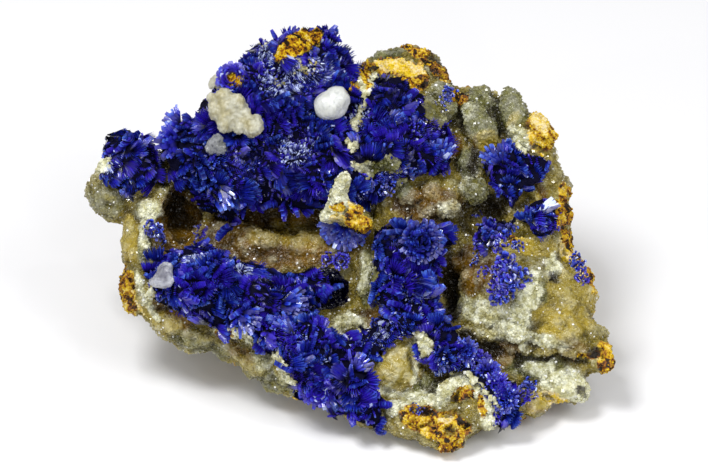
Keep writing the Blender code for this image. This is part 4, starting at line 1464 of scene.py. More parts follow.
@dataclass
class Rock:
    """The whole matrix: its skin, the druze that covers it and the crumbs of its limonite.

    room_mm is the most that the skin may swell, within_mm how far off another piece is looked
    for, and clear_mm how far the skin stays away from it.
    """

    cover: Cover
    node: str = "smithsonite_matrix"
    voxel_mm: float = 0.28
    seed: int = 5
    sunk_mm: float = 0.15
    room_mm: float = 1.0
    within_mm: float = 1.2
    clear_mm: float = 0.35
    grain_mm: float = 0.24
    back_grain_mm: float = 0.5
    crumb_mm: float = 0.27
    back_crumb_mm: float = 0.46
    back_crumbs: float = 0.4
    tree: BVHTree | None = field(default=None, init=False)

    def build(self) -> Skin:
        """Makes the skin, its druze and its crumbs, and returns the skin."""
        piece = Pieces.copy_of(self.node, "matrix_skin")
        refine(piece, self.voxel_mm, 5)
        skin = Skin(piece.data)
        zones = paint(skin.points, skin.normals)
        hidden = ramp(FACE.toward(skin.normals), 0.05, -0.4)
        height = RELIEF.height(skin.points, zones, hidden) + lumps(skin.points, skin.normals)
        height = np.minimum(height - self.sunk_mm, self._room(skin.points))
        skin = move(piece, skin, height)
        marks = surface_marks(skin, zones, 12)
        Pieces.mark(piece, marks)
        Pieces.finish(piece, self.cover.finishes[Texture.SKIN], "smithsonite", [self.node])
        self.tree = tree_of([skin])
        self._dress(skin, zones, marks, hidden)
        return skin

    def _dress(
        self, skin: Skin, zones: Mapping[Zone, Array], marks: Mapping[str, Array], hidden: Array
    ) -> None:
        """Covers the skin with crystals and crumbs, coarser on its back than on its front.

        Args:
            skin: the skin.
            zones: what it is made of.
            marks: what its corners carry.
            hidden: how far each corner is turned away from the camera, 0 to 1.
        """
        rng = np.random.default_rng(self.seed)
        earthy = np.maximum(zones[Zone.LIMONITE], zones[Zone.CREAM])
        glassy = np.maximum(zones[Zone.AMBER], zones[Zone.GOLD]) * (1.0 - zones[Zone.PALE])
        druzy = (1.0 - ramp(earthy, 0.25, 0.6)) * (1.0 - zones[Zone.SMOOTH]) * (1.0 - 0.5 * glassy)
        crumbly = ramp(earthy, 0.35, 0.6)
        pockets = ramp(Noise.cloud(skin.points, 3.5, 2.0, 4.4), -0.2, 0.2)
        front = 1.0 - ramp(hidden, 0.2, 0.5)
        back = 1 - front
        strew = self.cover.strew
        strew(
            "matrix_druze", "smithsonite", Texture.CRYSTAL, skin, marks, druzy * front,
            self.grain_mm, rng, 2,
        )
        strew(
            "matrix_druze_back", "smithsonite", Texture.CRYSTAL, skin, marks,
            druzy * pockets * back, self.back_grain_mm, rng,
        )
        strew(
            "matrix_crumbs", "limonite", Texture.CRUMB, skin, marks, crumbly * front,
            self.crumb_mm, rng,
        )
        strew(
            "matrix_crumbs_back", "limonite", Texture.CRUMB, skin, marks,
            crumbly * self.back_crumbs * back, self.back_crumb_mm, rng,
        )

    def _room(self, points: Array) -> Array:
        """How far the skin may swell before it reaches another piece.

        Args:
            points: the skin's corners.

        Returns:
            The room at each corner, in millimetres.
        """
        others = tree_of([
            Skin(node.data) for name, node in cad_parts.items() if name != self.node
        ])
        room = np.full(len(points), self.room_mm)
        for index, point in enumerate(points.tolist()):
            gap = others.find_nearest(point, self.within_mm * MM)[3]
            if gap is not None:
                room[index] = gap / MM - self.clear_mm
        return room


def join(
    parts: Sequence[tuple[Array, Array, dict[str, Array]]]
) -> tuple[Array, Array, dict[str, Array]]:
    """Joins several sets of blades into one.

    Args:
        parts: for each, its corners, its triangles and what each corner carries.

    Returns:
        The same of them all.
    """
    starts = np.cumsum([0] + [len(part[0]) for part in parts[:-1]])
    points = np.concatenate([part[0] for part in parts])
    faces = np.concatenate([part[1] + start for part, start in zip(parts, starts)])
    return points, faces, {
        key: np.concatenate([part[2][key] for part in parts]) for key in parts[0][2]
    }


@dataclass(frozen=True)
class Habit:
    """How the azurite grows. Clouds are in millimetres, turns in radians, the rest in shares.

    A cloud is the distance over which something changes, a swing how much it changes, and a
    stray how much one book or one blade differs from the next.
    """

    run_cloud: float = 4.5
    run_swing: float = 4.0
    run_stray: float = 0.45
    lean_cloud: float = 3.0
    lean_swing: float = 0.6
    lean_stray: float = 0.2
    lying_cloud: float = 3.2
    laid_least: float = 0.25
    laid_swing: float = 0.95
    laid_stray: float = 0.2
    open_least: float = 0.45
    shut_by_lying: float = 0.45
    fan_stray: float = 0.3
    blade_stray: float = 0.07
    size_cloud: float = 3.5
    size_least: float = 0.75
    size_swing: float = 0.45
    size_stray: tuple[float, float] = (0.75, 1.3)
    rounded: float = 0.2
    height_stray: tuple[float, float] = (0.78, 1.12)
    height: float = 1.05
    lying_height: float = 0.35
    width: tuple[float, float] = (0.22, 0.42)
    thick_mm: float = 0.11
    thick_stray: tuple[float, float] = (0.7, 1.4)
    bow: float = 0.2
    length: float = 0.42
    lift: float = 0.04
    sunk: float = 0.45
    shade_in_gaps: float = 0.9
    family_cloud: float = 2.5
    family_swing: float = 0.8
    family_stray: float = 0.15


HABIT = Habit()


@dataclass
class Fans:
    """One size of fanned books of blades: their spacing, reach and number of blades.

    Fine books stand everywhere, others only where the blades aren't fine; filler is what grows
    only where they are.
    """

    spacing: float
    reach: float
    blades: int
    fine: bool = False
    filler: bool = False

    def stand(
        self, spots: Spots, marks: Mapping[str, Array], shine: float, rng: np.random.Generator
    ) -> tuple[Array, Array, dict[str, Array]]:
        """Stands the books on their spots.

        Args:
            spots: where they stand.
            marks: what the bed's corners carry.
            shine: how bright the darkest blade is, 0 to 1.
            rng: where the random numbers come from.

        Returns:
            The corners and the triangles, and what each corner carries.
        """
        places, fans = spots.places, len(spots.places)
        frames, lying = self._frames(spots, rng)
        index = np.repeat(np.arange(fans), self.blades)
        along = np.tile(np.linspace(-1.0, 1.0, self.blades), fans)
        count = len(index)
        opened = rng.uniform(HABIT.open_least, 1.0, fans) * (1.0 - HABIT.shut_by_lying * lying)
        drift = rng.normal(0.0, HABIT.fan_stray, fans)[index]
        scale = ramp(Noise.cloud(places, HABIT.size_cloud, 1.0, 18.0), -0.4, 0.4)
        scale = HABIT.size_least + HABIT.size_swing * scale
        scale = (scale * rng.uniform(*HABIT.size_stray, fans))[index]
        base = frames.take(index)
        leaned = base.turned(along * drift + rng.normal(0, HABIT.blade_stray, count))
        leaned = leaned.tilted(along * opened[index] + rng.normal(0, HABIT.blade_stray, count))
        height = self.reach * scale * (1.0 - HABIT.rounded * along**2)
        height = height * rng.uniform(*HABIT.height_stray, count)
        height = height * (HABIT.height + HABIT.lying_height * lying[index])
        width = self.reach * scale * rng.uniform(*HABIT.width, count)
        thick = HABIT.thick_mm * (0.5 + self.reach / 2.8)
        thick = thick * rng.uniform(*HABIT.thick_stray, count)
        sizes = np.stack([width, thick, height], axis=1) * MM
        bends = rng.normal(0.0, HABIT.bow, fans)[index] * width * MM
        middle = places[index] + base.front * (along * HABIT.length * self.reach * MM)[:, None]
        middle = middle + spots.normals[index] * (HABIT.lift * self.reach * MM)
        feet = middle - leaned.up * (HABIT.sunk * height * MM)[:, None]
        shape = Shape.blade()
        points, faces = leaned.stamp(shape, feet, sizes, bends)
        corners = len(shape.points)
        # Painted shade: blades in the gaps between rosettes are made darker.
        gap_shade = 1.0 - HABIT.shade_in_gaps * spots.read(marks["gap"])[index]
        chance = rng.uniform(shine, 1.0 if self.fine else 0.96, count) * gap_shade
        family = 0.5 + Noise.cloud(places, HABIT.family_cloud, 2.0, 21.0) * HABIT.family_swing
        family = np.clip(family + rng.normal(0, HABIT.family_stray, fans), 0, 1)
        frost = spots.read(marks[Zone.FROST.value]) * (1.0 if self.fine else 0.5)
        return points, faces, {
            "tip": np.tile(shape.points[:, 2], count),
            "chance": np.repeat(chance, corners),
            "family": np.repeat(family[index], corners),
            "frost": np.repeat(frost[index], corners),
        }

    @staticmethod
    def _frames(spots: Spots, rng: np.random.Generator) -> tuple[Matrix3, Array]:
        """Which way each book runs and leans.

        Args:
            spots: where the books stand.
            rng: where the random numbers come from.

        Returns:
            Their frames, and how far each lies down, 0 to 1.
        """
        places, fans = spots.places, len(spots.places)
        run = Noise.cloud(places, HABIT.run_cloud, 1.0, 12.0) * HABIT.run_swing
        run = run + rng.normal(0.0, HABIT.run_stray, fans)
        lean = Noise.cloud(places, HABIT.lean_cloud, 1.0, 15.0) * HABIT.lean_swing
        lean = lean + rng.normal(0.0, HABIT.lean_stray, fans)
        lying = ramp(Noise.cloud(places, HABIT.lying_cloud, 1.0, 35.0), -0.2, 0.1)
        laid = HABIT.laid_least + HABIT.laid_swing * lying
        laid = laid + rng.normal(0.0, HABIT.laid_stray, fans)
        return Matrix3.about(spots.normals, run).tilted(lean).laid(laid), lying


@dataclass
class AzuriteCrust:
    """One mass of azurite: a dark bed, with books of blades standing on it.

    A small one has no bed to be seen: its blades stand straight on the rock. sink_mm is how far
    the bed lies below the CAD node where blades hide it, and shine how bright the darkest blade
    is. A size of books with no more than few spots leaves none of them out for bare ground or gaps.
    """

    node: str
    sizes: tuple[Fans, ...]
    seed: int = 1
    voxel_mm: float = 0.3
    pieces: int = 1
    sink_mm: float = 0.4
    bedded: bool = True
    shine: float = 0.0
    bump_mm: float = 0.3
    gap_mm: float = 0.3
    stain_and_shade: float = 0.3
    grain_mm: float = 0.32
    crumb_mm: float = 0.25
    few: int = 12

    def build(self, rock: Rock, glass: bpy.types.Material) -> Skin:
        """Makes the bed and its blades.

        Args:
            rock: what the azurite grew on.
            glass: the finish of the blades.

        Returns:
            The bed's skin.
        """
        bed = Pieces.copy_of(self.node, self.node + "_bed")
        refine(bed, self.voxel_mm, 2)
        skin = Skin(bed.data)
        zones = paint(skin.points, skin.normals, back=False)
        rocky = np.maximum(zones[Zone.PALE], zones[Zone.GREEN]) * 0.8
        bare = ramp(np.maximum(zones[Zone.LIMONITE], rocky), 0.3, 0.6)
        gap = zones[Zone.GAP] + ramp(Noise.cloud(skin.points, 1.8, 2.0, 25.0), -0.35, -0.55) * 0.7
        height = Noise.cloud(skin.points, 2.2, 2.0, 27.0) * self.bump_mm - gap * self.gap_mm
        skin = move(bed, skin, height - self.sink_mm * (1.0 - bare))
        # On the bed, the amber stain and the painted shade of the dark zone are both weakened.
        for zone in (Zone.AMBER, Zone.DARK):
            zones[zone] = zones[zone] * self.stain_and_shade
        # The bed under the blades is painted in the darkest blue, as painted shade.
        zones[Zone.AZURE] = 1.0 - bare
        surface = surface_marks(skin, zones, 6)
        cover = rock.cover
        if self.bedded:
            Pieces.mark(bed, surface)
            Pieces.finish(bed, cover.finishes[Texture.BED], "azurite", [self.node])
        else:
            bpy.data.objects.remove(bed)
        rng = np.random.default_rng(self.seed)
        plain = {**surface, Zone.AZURE.value: np.zeros(len(gap))}
        earthy = ramp(zones[Zone.LIMONITE], 0.3, 0.6)
        pale = ramp(rocky, 0.3, 0.5) * (1.0 - earthy)
        cover.strew(
            self.node + "_druze", "smithsonite", Texture.CRYSTAL, skin, plain, pale,
            self.grain_mm, rng,
        )
        cover.strew(
            self.node + "_crumbs", "limonite", Texture.CRUMB, skin, plain, earthy,
            self.crumb_mm, rng,
        )
        marks = {zone.value: share for zone, share in zones.items()}
        marks["gap"], marks["bare"] = np.clip(gap, 0, 1), bare
        self._blades(skin, marks, rock, glass, rng)
        return skin

    def _blades(
        self, skin: Skin, marks: Mapping[str, Array], rock: Rock, glass: bpy.types.Material,
        rng: np.random.Generator,
    ) -> None:
        """Stands the books of blades on the bed.

        Args:
            skin: the bed.
            marks: what its corners carry.
            rock: what the azurite grew on.
            glass: the finish of the blades.
            rng: where the random numbers come from.
        """
        parts = []
        for fans in self.sizes:
            spots = skin.scatter(fans.spacing, rng)
            spots = spots.take(self._open(spots, marks, rock, fans, rng))
            parts.append(fans.stand(spots, marks, self.shine, rng))
        points, faces, named = join(parts)
        shape = Shape.blade()
        corners, sides = len(shape.points), len(shape.triangles)
        cuts = np.linspace(0, len(points) // corners, self.pieces + 1).astype(int)
        for number, (start, end) in enumerate(zip(cuts, cuts[1:]), 1):
            first, last = start * corners, end * corners
            piece = Pieces.from_arrays(
                f"{self.node}_blades_{number}", points[first:last],
                faces[start * sides:end * sides] - first,
                {key: values[first:last] for key, values in named.items()},
            )
            Pieces.finish(piece, glass, "azurite", [] if self.bedded else [self.node])

    def _open(
        self, spots: Spots, marks: Mapping[str, Array], rock: Rock, fans: Fans,
        rng: np.random.Generator,
    ) -> Array:
        """Which spots face open air, aren't in a gap, and are of the right coarseness.

        Args:
            spots: the spots.
            marks: what the bed's corners carry.
            rock: what the azurite grew on.
            fans: the size of the books that are to stand there.
            rng: where the random numbers come from.

        Returns:
            For each spot, whether a book may stand there.
        """
        clear = []
        for place, normal in zip(spots.places, spots.normals):
            start, way = Vector(place + normal * 0.05 * MM), Vector(normal)
            clear.append(rock.tree.ray_cast(start, way, fans.reach * 0.25 * MM)[0] is None)
        gap = spots.read(marks["gap"])
        share = np.maximum(spots.read(marks[Zone.FINE.value]), spots.read(marks[Zone.FROST.value]))
        bare = spots.read(marks["bare"])
        chance = rng.uniform(0.3, 0.9, len(share))
        suits = share > chance - 0.3 if fans.filler else (share < chance) | fans.fine
        shown = FACE.toward(spots.normals) > -0.75
        filled = (bare < rng.uniform(0.3, 0.9, len(bare))) & (gap < (1.1 if fans.fine else 0.4))
        filled = filled if len(clear) > self.few else True
        return np.array(clear, bool) & shown & filled & suits


@dataclass(frozen=True)
class Flower:
    """Blades in rows round a point: a ball of petals, a ring, a dish or part of one.

    reach is how long a blade is, hole how wide the open middle, spread how far the last row is
    from the first, lift how high the flower stands, ragged how far its blades stray and thick
    how thick they are, all in millimetres. lean is how far the first and the last row lie over,
    and arc where on the face they point, in degrees from u on. breadth, bow and sunk are how
    wide and how bent a blade is and how much of it is below ground, as shares. family is 0 for
    blue and 1 for violet, frost how white the tips are, and shine the darkest and the brightest
    blade.
    """

    u: float
    v: float
    reach: float
    hole: float = 0.0
    lean: tuple[float, float] = (10.0, 70.0)
    arc: tuple[float, float] = (0.0, 360.0)
    rows: int = 3
    family: float = 0.3
    frost: float = 0.0
    breadth: float = 0.7
    spread: float = 0.3
    lift: float = 0.0
    ragged: float = 0.05
    shine: tuple[float, float] = (0.0, 1.0)
    thick: float = 0.14
    bow: float = 0.15
    sunk: float = 0.1

    def grow(
        self, foot: Vector, normal: Vector, rng: np.random.Generator
    ) -> tuple[Array, Array, dict[str, Array]]:
        """Grows the flower.

        Args:
            foot: where it stands, in metres.
            normal: which way the ground there faces.
            rng: where the random numbers come from.

        Returns:
            The corners and the triangles, and what each corner carries.
        """
        across, upward, out = FACE.axes
        axis = unit(np.array(normal) * 0.4 + out)
        across = unit(across - axis * (across @ axis))
        upward = np.cross(axis, across)
        rounds, rings, leans, lengths = [], [], [], []
        run = math.radians(self.arc[1] - self.arc[0])
        for row in range(self.rows):
            share = row / max(self.rows - 1, 1)
            ring = self.hole + share * self.spread
            lean = math.radians(self.lean[0] + (self.lean[1] - self.lean[0]) * share)
            count = int(run * (ring + self.reach * 0.6) / (self.reach * self.breadth * 0.4))
            count = max(count, 3)
            step = run / count
            rounds.append(math.radians(self.arc[0]) + step * (np.arange(count) + 0.5 * (row % 2)))
            rings += [ring] * count
            leans += [lean] * count
            lengths += [self.reach * (0.75 + 0.25 * share)] * count
        angle = np.concatenate(rounds)
        count = len(angle)
        angle = angle + rng.normal(0, 0.1, count)
        lean = np.array(leans) + rng.normal(0, 0.12, count)
        radial = np.cos(angle)[:, None] * across + np.sin(angle)[:, None] * upward
        up = unit(radial * np.sin(lean)[:, None] + axis * np.cos(lean)[:, None])
        side = unit(np.cross(np.broadcast_to(axis, radial.shape), radial))
        frames = Matrix3(side, np.cross(up, side), up)
        rise = (self.lift - self.sunk * self.reach) * MM
        rings = np.array(rings) + rng.normal(0.0, self.ragged, count)
        feet = np.array(foot) + radial * rings[:, None] * MM + axis * rise
        feet = feet + rng.normal(0.0, self.ragged * MM, (count, 3))
        height = np.array(lengths) * rng.uniform(0.85, 1.1, count)
        width = self.reach * self.breadth * rng.uniform(0.7, 1.2, count)
        sizes = np.stack([width, np.full(count, self.thick), height], axis=1) * MM
        shape = Shape.blade()
        points, faces = frames.stamp(shape, feet, sizes, self.bow * width * MM)
        corners = len(shape.points)
        return points, faces, {
            "tip": np.tile(shape.points[:, 2], count),
            "chance": np.repeat(rng.uniform(*self.shine, count), corners),
            "family": np.full(count * corners, self.family),
            "frost": np.full(count * corners, self.frost),
        }


@dataclass
class Bunch:
    """All the single flowers, and the stray specks of azurite, as one piece."""

    flowers: tuple[Flower, ...]
    skins: Sequence[Skin]
    name: str = "azurite_flowers"
    seed: int = 71

    def build(self, glass: bpy.types.Material) -> None:
        """Grows each flower where the camera sees its place on the specimen.

        Args:
            glass: the finish of the blades.
        """
        ground = tree_of(self.skins)
        rng, eye = np.random.default_rng(self.seed), FACE.place(0.0, 0.0, FACE.distance_mm)
        parts = []
        for flower in self.flowers:
            way = (FACE.place(flower.u, flower.v, 0.0) - eye).normalized()
            foot, normal = ground.ray_cast(eye, way)[:2]
            if foot is not None:
                parts.append(flower.grow(foot, normal, rng))
        points, sides, carried = join(parts)
        Pieces.finish(
            Pieces.from_arrays(self.name, points, sides, carried), glass, "azurite", []
        )


@dataclass
class PaleGrain:
    """One pale crystal on the azurite: knobs and grit are heights in millimetres.

    facets is how many flat faces are cut on it, and lobes are balls of (u, v, radius) that are
    added to its CAD node.
    """

    node: str
    look: Calcite
    knobs: float
    grit: float
    facets: int = 0
    lobes: tuple[tuple[float, float, float], ...] = ()

    def build(self, finish: bpy.types.Material) -> None:
        """Makes the grain.

        Args:
            finish: its material.
        """
        piece = Pieces.copy_of(self.node, self.node + "_body")
        depth = FACE.measure(Skin(piece.data).points)[:, 2].mean()
        for u, v, radius in self.lobes:
            Pieces.deselect()
            bpy.ops.mesh.primitive_ico_sphere_add(
                subdivisions=3, radius=radius * MM, location=FACE.place(u, v, depth)
            )
            piece.select_set(True)
            bpy.context.view_layer.objects.active = piece
            bpy.ops.object.join()
        refine(piece, 0.12, 4)
        skin = Skin(piece.data)
        knobs = (0.5 - Noise.cells(skin.points, 1.2, 2.0)) * self.knobs
        grit = (0.4 - Noise.cells(skin.points, 0.4, 2.0)) * self.grit
        move(piece, skin, knobs + grit - self._cut(skin.points))
        Pieces.finish(piece, finish, "calcite", [self.node])

    def _cut(self, points: Array) -> Array:
        """How much flat facets take off a rounded grain.

        Args:
            points: the grain's corners.

        Returns:
            The depth of the cut at each corner, in millimetres.
        """
        if not self.facets:
            return np.zeros(len(points))
        number = np.arange(self.facets) + 0.5
        tall, turn = 1.0 - 2.0 * number / self.facets, math.pi * (1.0 + 5.0 ** 0.5) * number
        ways = np.stack([np.cos(turn), np.sin(turn), tall], axis=1)
        ways[:, :2] *= np.sqrt(1.0 - tall**2)[:, None]
        run = (points - points.mean(axis=0)) @ ways.T
        return np.maximum((run - run.max(axis=0) * 0.93).max(axis=1), 0.0) / MM


@dataclass
class RockPiece:
    """A loose piece of the rock's own stuff: the flake of limonite, or the druzy ball."""

    node: str
    slot: str
    ovals: dict[Zone, list[Row]]
    voxel_mm: float = 0.15
    seed: int = 8
    rough: float = 0.5
    grain_mm: float = 0.26
    crumb_mm: float = 0.22

    def build(self, cover: Cover) -> None:
        """Makes the piece's skin, and the crumbs or crystals on it.

        Args:
            cover: what makes the crumbs and crystals.
        """
        piece = Pieces.copy_of(self.node, self.node + "_skin")
        refine(piece, self.voxel_mm, 3)
        skin = Skin(piece.data)
        none = np.zeros(len(skin.points))
        u, v = FACE.seen(skin.points)
        u = u + 0.3 * Noise.cloud(skin.points, 0.8, shift=4.2)
        zones = {zone: none for zone in Zone}
        for zone, rows in self.ovals.items():
            zones[zone] = np.max([none, *(Oval(*row).patch(u, v) for row in rows)], axis=0)
        skin = move(piece, skin, RELIEF.height(skin.points, zones, none) * self.rough)
        marks = surface_marks(skin, zones, 8)
        Pieces.mark(piece, marks)
        rng = np.random.default_rng(self.seed)
        Pieces.finish(piece, cover.finishes[Texture.SKIN], self.slot, [self.node])
        crumbly = ramp(zones[Zone.LIMONITE], 0.3, 0.6)
        cover.strew(
            self.node + "_crumbs", self.slot, Texture.CRUMB, skin, marks, crumbly,
            self.crumb_mm, rng,
        )
        druzy = 1.0 - ramp(crumbly + zones[Zone.CREAM], 0.3, 0.6)
        cover.strew(
            self.node + "_druze", self.slot, Texture.CRYSTAL, skin, marks, druzy,
            self.grain_mm, rng,
        )


@dataclass(frozen=True)
class Lamp:
    """A square lamp that points at the specimen."""

    name: str
    at: tuple[float, float, float]
    size_mm: float
    watts: float

    def hang(self) -> None:
        """Hangs the lamp at its place, which is u, v and w in millimetres."""
        lamp = bpy.data.lights.new(self.name, "AREA")
        lamp.size = self.size_mm * MM
        lamp.energy = self.watts
        hung = bpy.data.objects.new(self.name, lamp)
        bpy.context.scene.collection.objects.link(hung)
        hung.location = FACE.place(*self.at)
        aim = FACE.place(0.0, 0.0, 0.0)
        hung.rotation_euler = (aim - hung.location).to_track_quat("-Z", "Y").to_euler()


@dataclass
class Studio:
    """The floor, the lights and the camera.

    The small lamps make the druze glitter. They hang in an oval ring, as far out to the side and
    up as glint_ring says, in millimetres.
    """

    frame_px: tuple[int, int] = (708, 472)
    mm_to_a_pixel: float = 0.1
    aim: tuple[float, float] = (0.0, 0.4)
    sensor_mm: float = 36.0
    floor_m: float = 4.0
    daylight: float = 0.45
    key: Lamp = Lamp("key", (-90, 170, 190), 90, 0.5)
    fill: Lamp = Lamp("fill", (170, 110, 220), 120, 0.25)
    glints: int = 8
    glint_mm: float = 14
    glint_watts: float = 0.03
    glint_ring: tuple[float, float] = (190, 130)

    def build(self) -> None:
        """Lays the floor, hangs the lights and sets up the camera."""
        Pieces.deselect()
        bpy.ops.mesh.primitive_plane_add(size=self.floor_m, location=(0.0, 0.0, 0.0))
        floor = bpy.context.object
        floor.name = "floor"
        floor.data.materials.append(FloorFinish().build())
        world = bpy.data.worlds.new("soft_room")
        world.use_nodes = True
        world.node_tree.nodes["Background"].inputs["Color"].default_value = (1, 1, 1, 1)
        world.node_tree.nodes["Background"].inputs["Strength"].default_value = self.daylight
        bpy.context.scene.world = world
        self.key.hang()
        self.fill.hang()
        wide, tall = self.glint_ring
        for number in range(self.glints):
            turn = 2 * math.pi * number / self.glints + 0.3
            at = (wide * math.cos(turn), tall * math.sin(turn) + 60, 200)
            Lamp(f"glint_{number + 1}", at, self.glint_mm, self.glint_watts).hang()
        self._camera()
        bpy.context.scene.view_settings.view_transform = "Standard"

    def _camera(self) -> None:
        """Sets the camera square to the face, with a long lens."""
        eye = bpy.data.cameras.new("camera")
        eye.sensor_width = self.sensor_mm
        width = self.frame_px[0] * self.mm_to_a_pixel
        eye.lens = self.sensor_mm * FACE.distance_mm / width
        eye.clip_start, eye.clip_end = 0.01, 10.0
        held = bpy.data.objects.new("camera", eye)
        bpy.context.scene.collection.objects.link(held)
        across, upward, out = (Vector(row) for row in FACE.axes)
        turn = Matrix((across, upward, out)).transposed().to_4x4()
        held.matrix_world = Matrix.Translation(FACE.place(*self.aim, FACE.distance_mm)) @ turn
        bpy.context.scene.camera = held


# The sizes of books, the sets of them that a mass can have, and the masses.
FILLER = Fans(0.34, 0.48, 4, fine=True, filler=True)
COARSE = (Fans(0.9, 1.45, 23), Fans(0.55, 0.8, 6, fine=True), FILLER)
MEDIUM = (Fans(0.86, 1.28, 19), Fans(0.52, 0.75, 6, fine=True), FILLER)
SMALL = (Fans(0.7, 0.8, 7), Fans(0.4, 0.5, 5, fine=True))
MASSES = (
    AzuriteCrust("azurite_crown", COARSE, 11, 0.3, 4),
    AzuriteCrust("azurite_lower_crust", COARSE, 12, 0.3, 3, shine=0.26),
    AzuriteCrust("azurite_left_knob", MEDIUM, 31, 0.2),
    AzuriteCrust("azurite_right_cluster", MEDIUM, 32, 0.2, shine=0.1),
    AzuriteCrust("azurite_right_rosette", MEDIUM, 33, 0.2, shine=0.35),
    AzuriteCrust("azurite_cup", SMALL, 34, 0.2, sink_mm=0.2, bedded=False),
    AzuriteCrust("azurite_dome_patch", SMALL, 35, 0.2, sink_mm=0.0, bedded=False, shine=0.3),
    AzuriteCrust("azurite_cleft_trail", MEDIUM, 36, 0.2, sink_mm=0.2),
    *(
        AzuriteCrust(node, SMALL, seed, 0.12, sink_mm=0.1, bedded=False)
        for seed, node in enumerate((
            "azurite_ring", "azurite_pocket_spray", "azurite_side_spray", "azurite_cleft_spray",
            "azurite_rim_patch", "azurite_ledge_spray",
        ), 51)
    ),
)


def speck(u: float, v: float, reach: float = 0.35, family: float = 0.3) -> Flower:
    """A stray speck of azurite: a few blades that point all ways."""
    return Flower(
        u, v, reach * 1.4, 0.0, (10, 60), rows=2, family=family, breadth=1.0, ragged=0.12
    )


# Specks: (u, v, reach, family), and the last two may be left out.
SPECKS: list[Row] = [
    (12.2, -2.4, 0.2), (13.0, -3.3, 0.2, 0.8), (12.7, -1.6, 0.15), (16.9, -3.6),
    (16.3, -0.8, 0.3), (15.6, 0.9, 0.35), (13.4, 1.2, 0.3, 0.8), (22.4, -2.8),
    (22.8, -3.8, 0.35, 0.8), (22.1, -1.9, 0.25), (17.3, -15.0, 0.4), (17.6, -14.2, 0.3),
    (17.0, -15.8, 0.3, 0.8), (9.4, 14.7, 0.3), (9.3, 14.0, 0.2), (-20.3, 1.4, 0.3),
    (-19.8, 0.8), (-19.4, 0.2, 0.3), (13.6, 0.4, 0.5), (14.4, -0.2, 0.45, 0.7),
    (14.9, 0.3, 0.4), (15.1, -2.0, 0.45, 0.4), (14.6, -2.8, 0.4, 0.6), (15.7, -3.6, 0.45, 0.3),
    (14.9, -3.9, 0.4, 0.7), (15.5, -4.6, 0.4, 0.4), (14.7, -5.0, 0.4, 0.6),
    (14.3, -5.8, 0.35, 0.4), (14.7, -1.0, 0.35, 0.6),
]
# Small flowers in a strip down to the foot of the face: (u, v, reach, hole, family).
STRIP: list[Row] = [
    (11.2, -11.2, 1.0, 0.2, 0.4), (12.3, -12.3, 0.9, 0.3, 0.7), (13.3, -13.4, 1.0, 0.3, 0.5),
    (14.2, -14.6, 0.9, 0.3, 0.8), (15.0, -15.9, 0.9, 0.3, 0.4), (14.4, -17.2, 0.9, 0.3, 0.8),
]
FLOWERS = (
    Flower(-12.2, 16.2, 0.9, 0.5, (20, 85), rows=4, family=0.75),
    Flower(
        6.7, -0.2, 1.2, 0.6, (20, 70), rows=3, family=0.1, breadth=0.36, spread=0.5, ragged=0.08,
        shine=(0.1, 0.62),
    ),
    Flower(-1.3, -2.1, 0.45, 0.36, (5, 55), rows=2, family=0.7, spread=0.15),
    Flower(
        -0.9, 1.6, 1.6, 0.1, (72, 80), (178, 362), 8, 0.4, 0.05, 0.28, 1.0, 1.1, 0.03, (0.1, 1.0)
    ),
    Flower(18.3, 2.7, 1.9, 0.1, (76, 84), (12, 46), 2, 0.0, 1.5, 0.3),
    Flower(-3.5, -15.0, 1.5, 0.2, (10, 80), rows=5, family=0.9, breadth=0.4),
    Flower(-0.2, -13.2, 1.7, 0.2, (55, 80), (10, 90), 2, breadth=0.22, lift=0.2, family=0.5),
    Flower(-7.4, -6.3, 2.2, 0.2, (55, 80), (-70, 40), 3, breadth=0.22, lift=0.3),
    Flower(-11.4, -7.2, 2.0, 0.2, (55, 80), (-80, 10), 3, breadth=0.22, lift=0.3),
    Flower(-6.0, -9.6, 2.1, 0.2, (65, 80), (110, 160), 3, breadth=0.22, lift=0.3),
    Flower(8.4, 7.6, 2.2, 0.2, (55, 80), (50, 120), 3, breadth=0.2, lift=0.3),
    Flower(14.8, 7.4, 2.0, 0.2, (55, 80), (60, 170), 3, breadth=0.22, lift=0.2),
    Flower(-13.6, 5.6, 2.2, 0.2, (65, 80), (-80, -20), 3, breadth=0.2, lift=0.2),
    Flower(-2.4, 12.0, 2.2, 0.2, (65, 80), (-150, -90), 3, breadth=0.2, lift=0.2),
    Flower(3.2, 6.2, 0.5, rows=3, ragged=0.2), Flower(4.2, 6.4, 0.4, rows=3, ragged=0.2),
    Flower(1.0, 5.6, 0.6, rows=3, ragged=0.2), Flower(3.0, 5.2, 0.5, rows=3, ragged=0.2),
    *(speck(*row) for row in SPECKS),
    Flower(-17.2, 11.4, 1.7, 0.2, (50, 85), (110, 230), 3, 0.5, breadth=0.3),
    Flower(-17.4, 9.8, 2.0, 0.2, (50, 85), (120, 240), 3, 0.5, breadth=0.3),
    *(
        Flower(u, v, reach, hole, (20, 85), rows=3, family=family, breadth=0.3)
        for u, v, reach, hole, family in STRIP
    ),
    speck(-2.6, -1.8, 0.3, 0.8), speck(2.4, -8.4, 0.3), speck(4.2, -8.0, 0.3),
    speck(6.2, -17.0, 0.2),
)


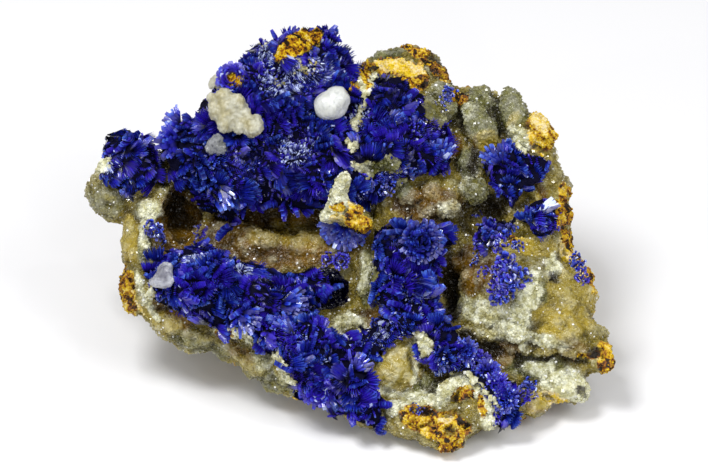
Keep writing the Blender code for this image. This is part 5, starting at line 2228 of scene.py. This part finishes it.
GRAINS = (
    PaleGrain("calcite_bead", Calcite.WHITE, 0.08, 0.03, facets=11, lobes=(
        (-2.6, 13.4, 1.5), (-1.7, 14.1, 1.35),
    )),
    PaleGrain("calcite_cluster", Calcite.CREAM, 0.4, 0.22, lobes=(
        (-13.0, 14.4, 0.9), (-11.7, 13.7, 0.95), (-9.8, 11.7, 0.9), (-10.3, 11.0, 0.8),
        (-13.0, 11.5, 0.8), (-13.9, 13.2, 0.7), (-11.5, 11.1, 0.7), (-14.2, 14.2, 0.5),
    )),
    PaleGrain("calcite_bud", Calcite.CREAM, 0.3, 0.15, lobes=(
        (-13.6, 16.0, 0.8), (-13.2, 15.4, 0.8),
    )),
    PaleGrain("calcite_grain", Calcite.SMOKE, 0.4, 0.25, lobes=(
        (-13.9, 9.6, 0.85), (-13.4, 9.1, 0.8), (-14.3, 9.0, 0.6),
    )),
    PaleGrain("calcite_tooth", Calcite.GREY, 0.6, 0.1),
)
LOOSE = (
    RockPiece("limonite_flake", "limonite", {
        Zone.LIMONITE: [(0.5, 1.6, 1.6, 1.0, -25), (-1.5, 3.3, 0.8, 0.5), (0.2, 2.8, 0.7, 0.6)],
        Zone.CREAM: [(-1.6, 2.2, 1.0, 0.5, 0, 0.6), (-0.1, 4.2, 0.5, 1.2, 0, 0.7)],
        Zone.PALE: [(-0.8, 5.4, 2.0, 2.2, 0, 0.8), (-2.6, 2.8, 1.6, 1.3), (1.6, 1.2, 0.6, 0.8)],
        Zone.GREEN: [(-0.8, 4.6, 3.0, 3.0, 0, 0.6)],
        Zone.SMOOTH: [(-0.8, 4.0, 5.0, 5.0)],
    }),
    RockPiece("smithsonite_ball", "smithsonite", {
        Zone.PALE: [(12.0, 5.0, 3.0, 3.0, 0, 0.12)], Zone.GREEN: [(12.0, 5.0, 3.0, 3.0, 0, 0.7)],
    }),
)


def main() -> None:
    """Builds the specimen piece by piece, and the studio round it."""
    logging.basicConfig(level=logging.INFO, format="%(name)s: %(message)s")
    crust = CrustFinish()
    rock = Rock(Cover({texture: crust.build(texture) for texture in Texture}))
    skins = [rock.build()]
    glass = AzuriteFinish().build()
    skins += [mass.build(rock, glass) for mass in MASSES]
    Bunch(FLOWERS, skins).build(glass)
    calcites = {look: look.value.build() for look in Calcite}
    for grain in GRAINS:
        grain.build(calcites[grain.look])
    for piece in LOOSE:
        piece.build(rock.cover)
    Studio().build()


if __name__ == "__main__":
    main()
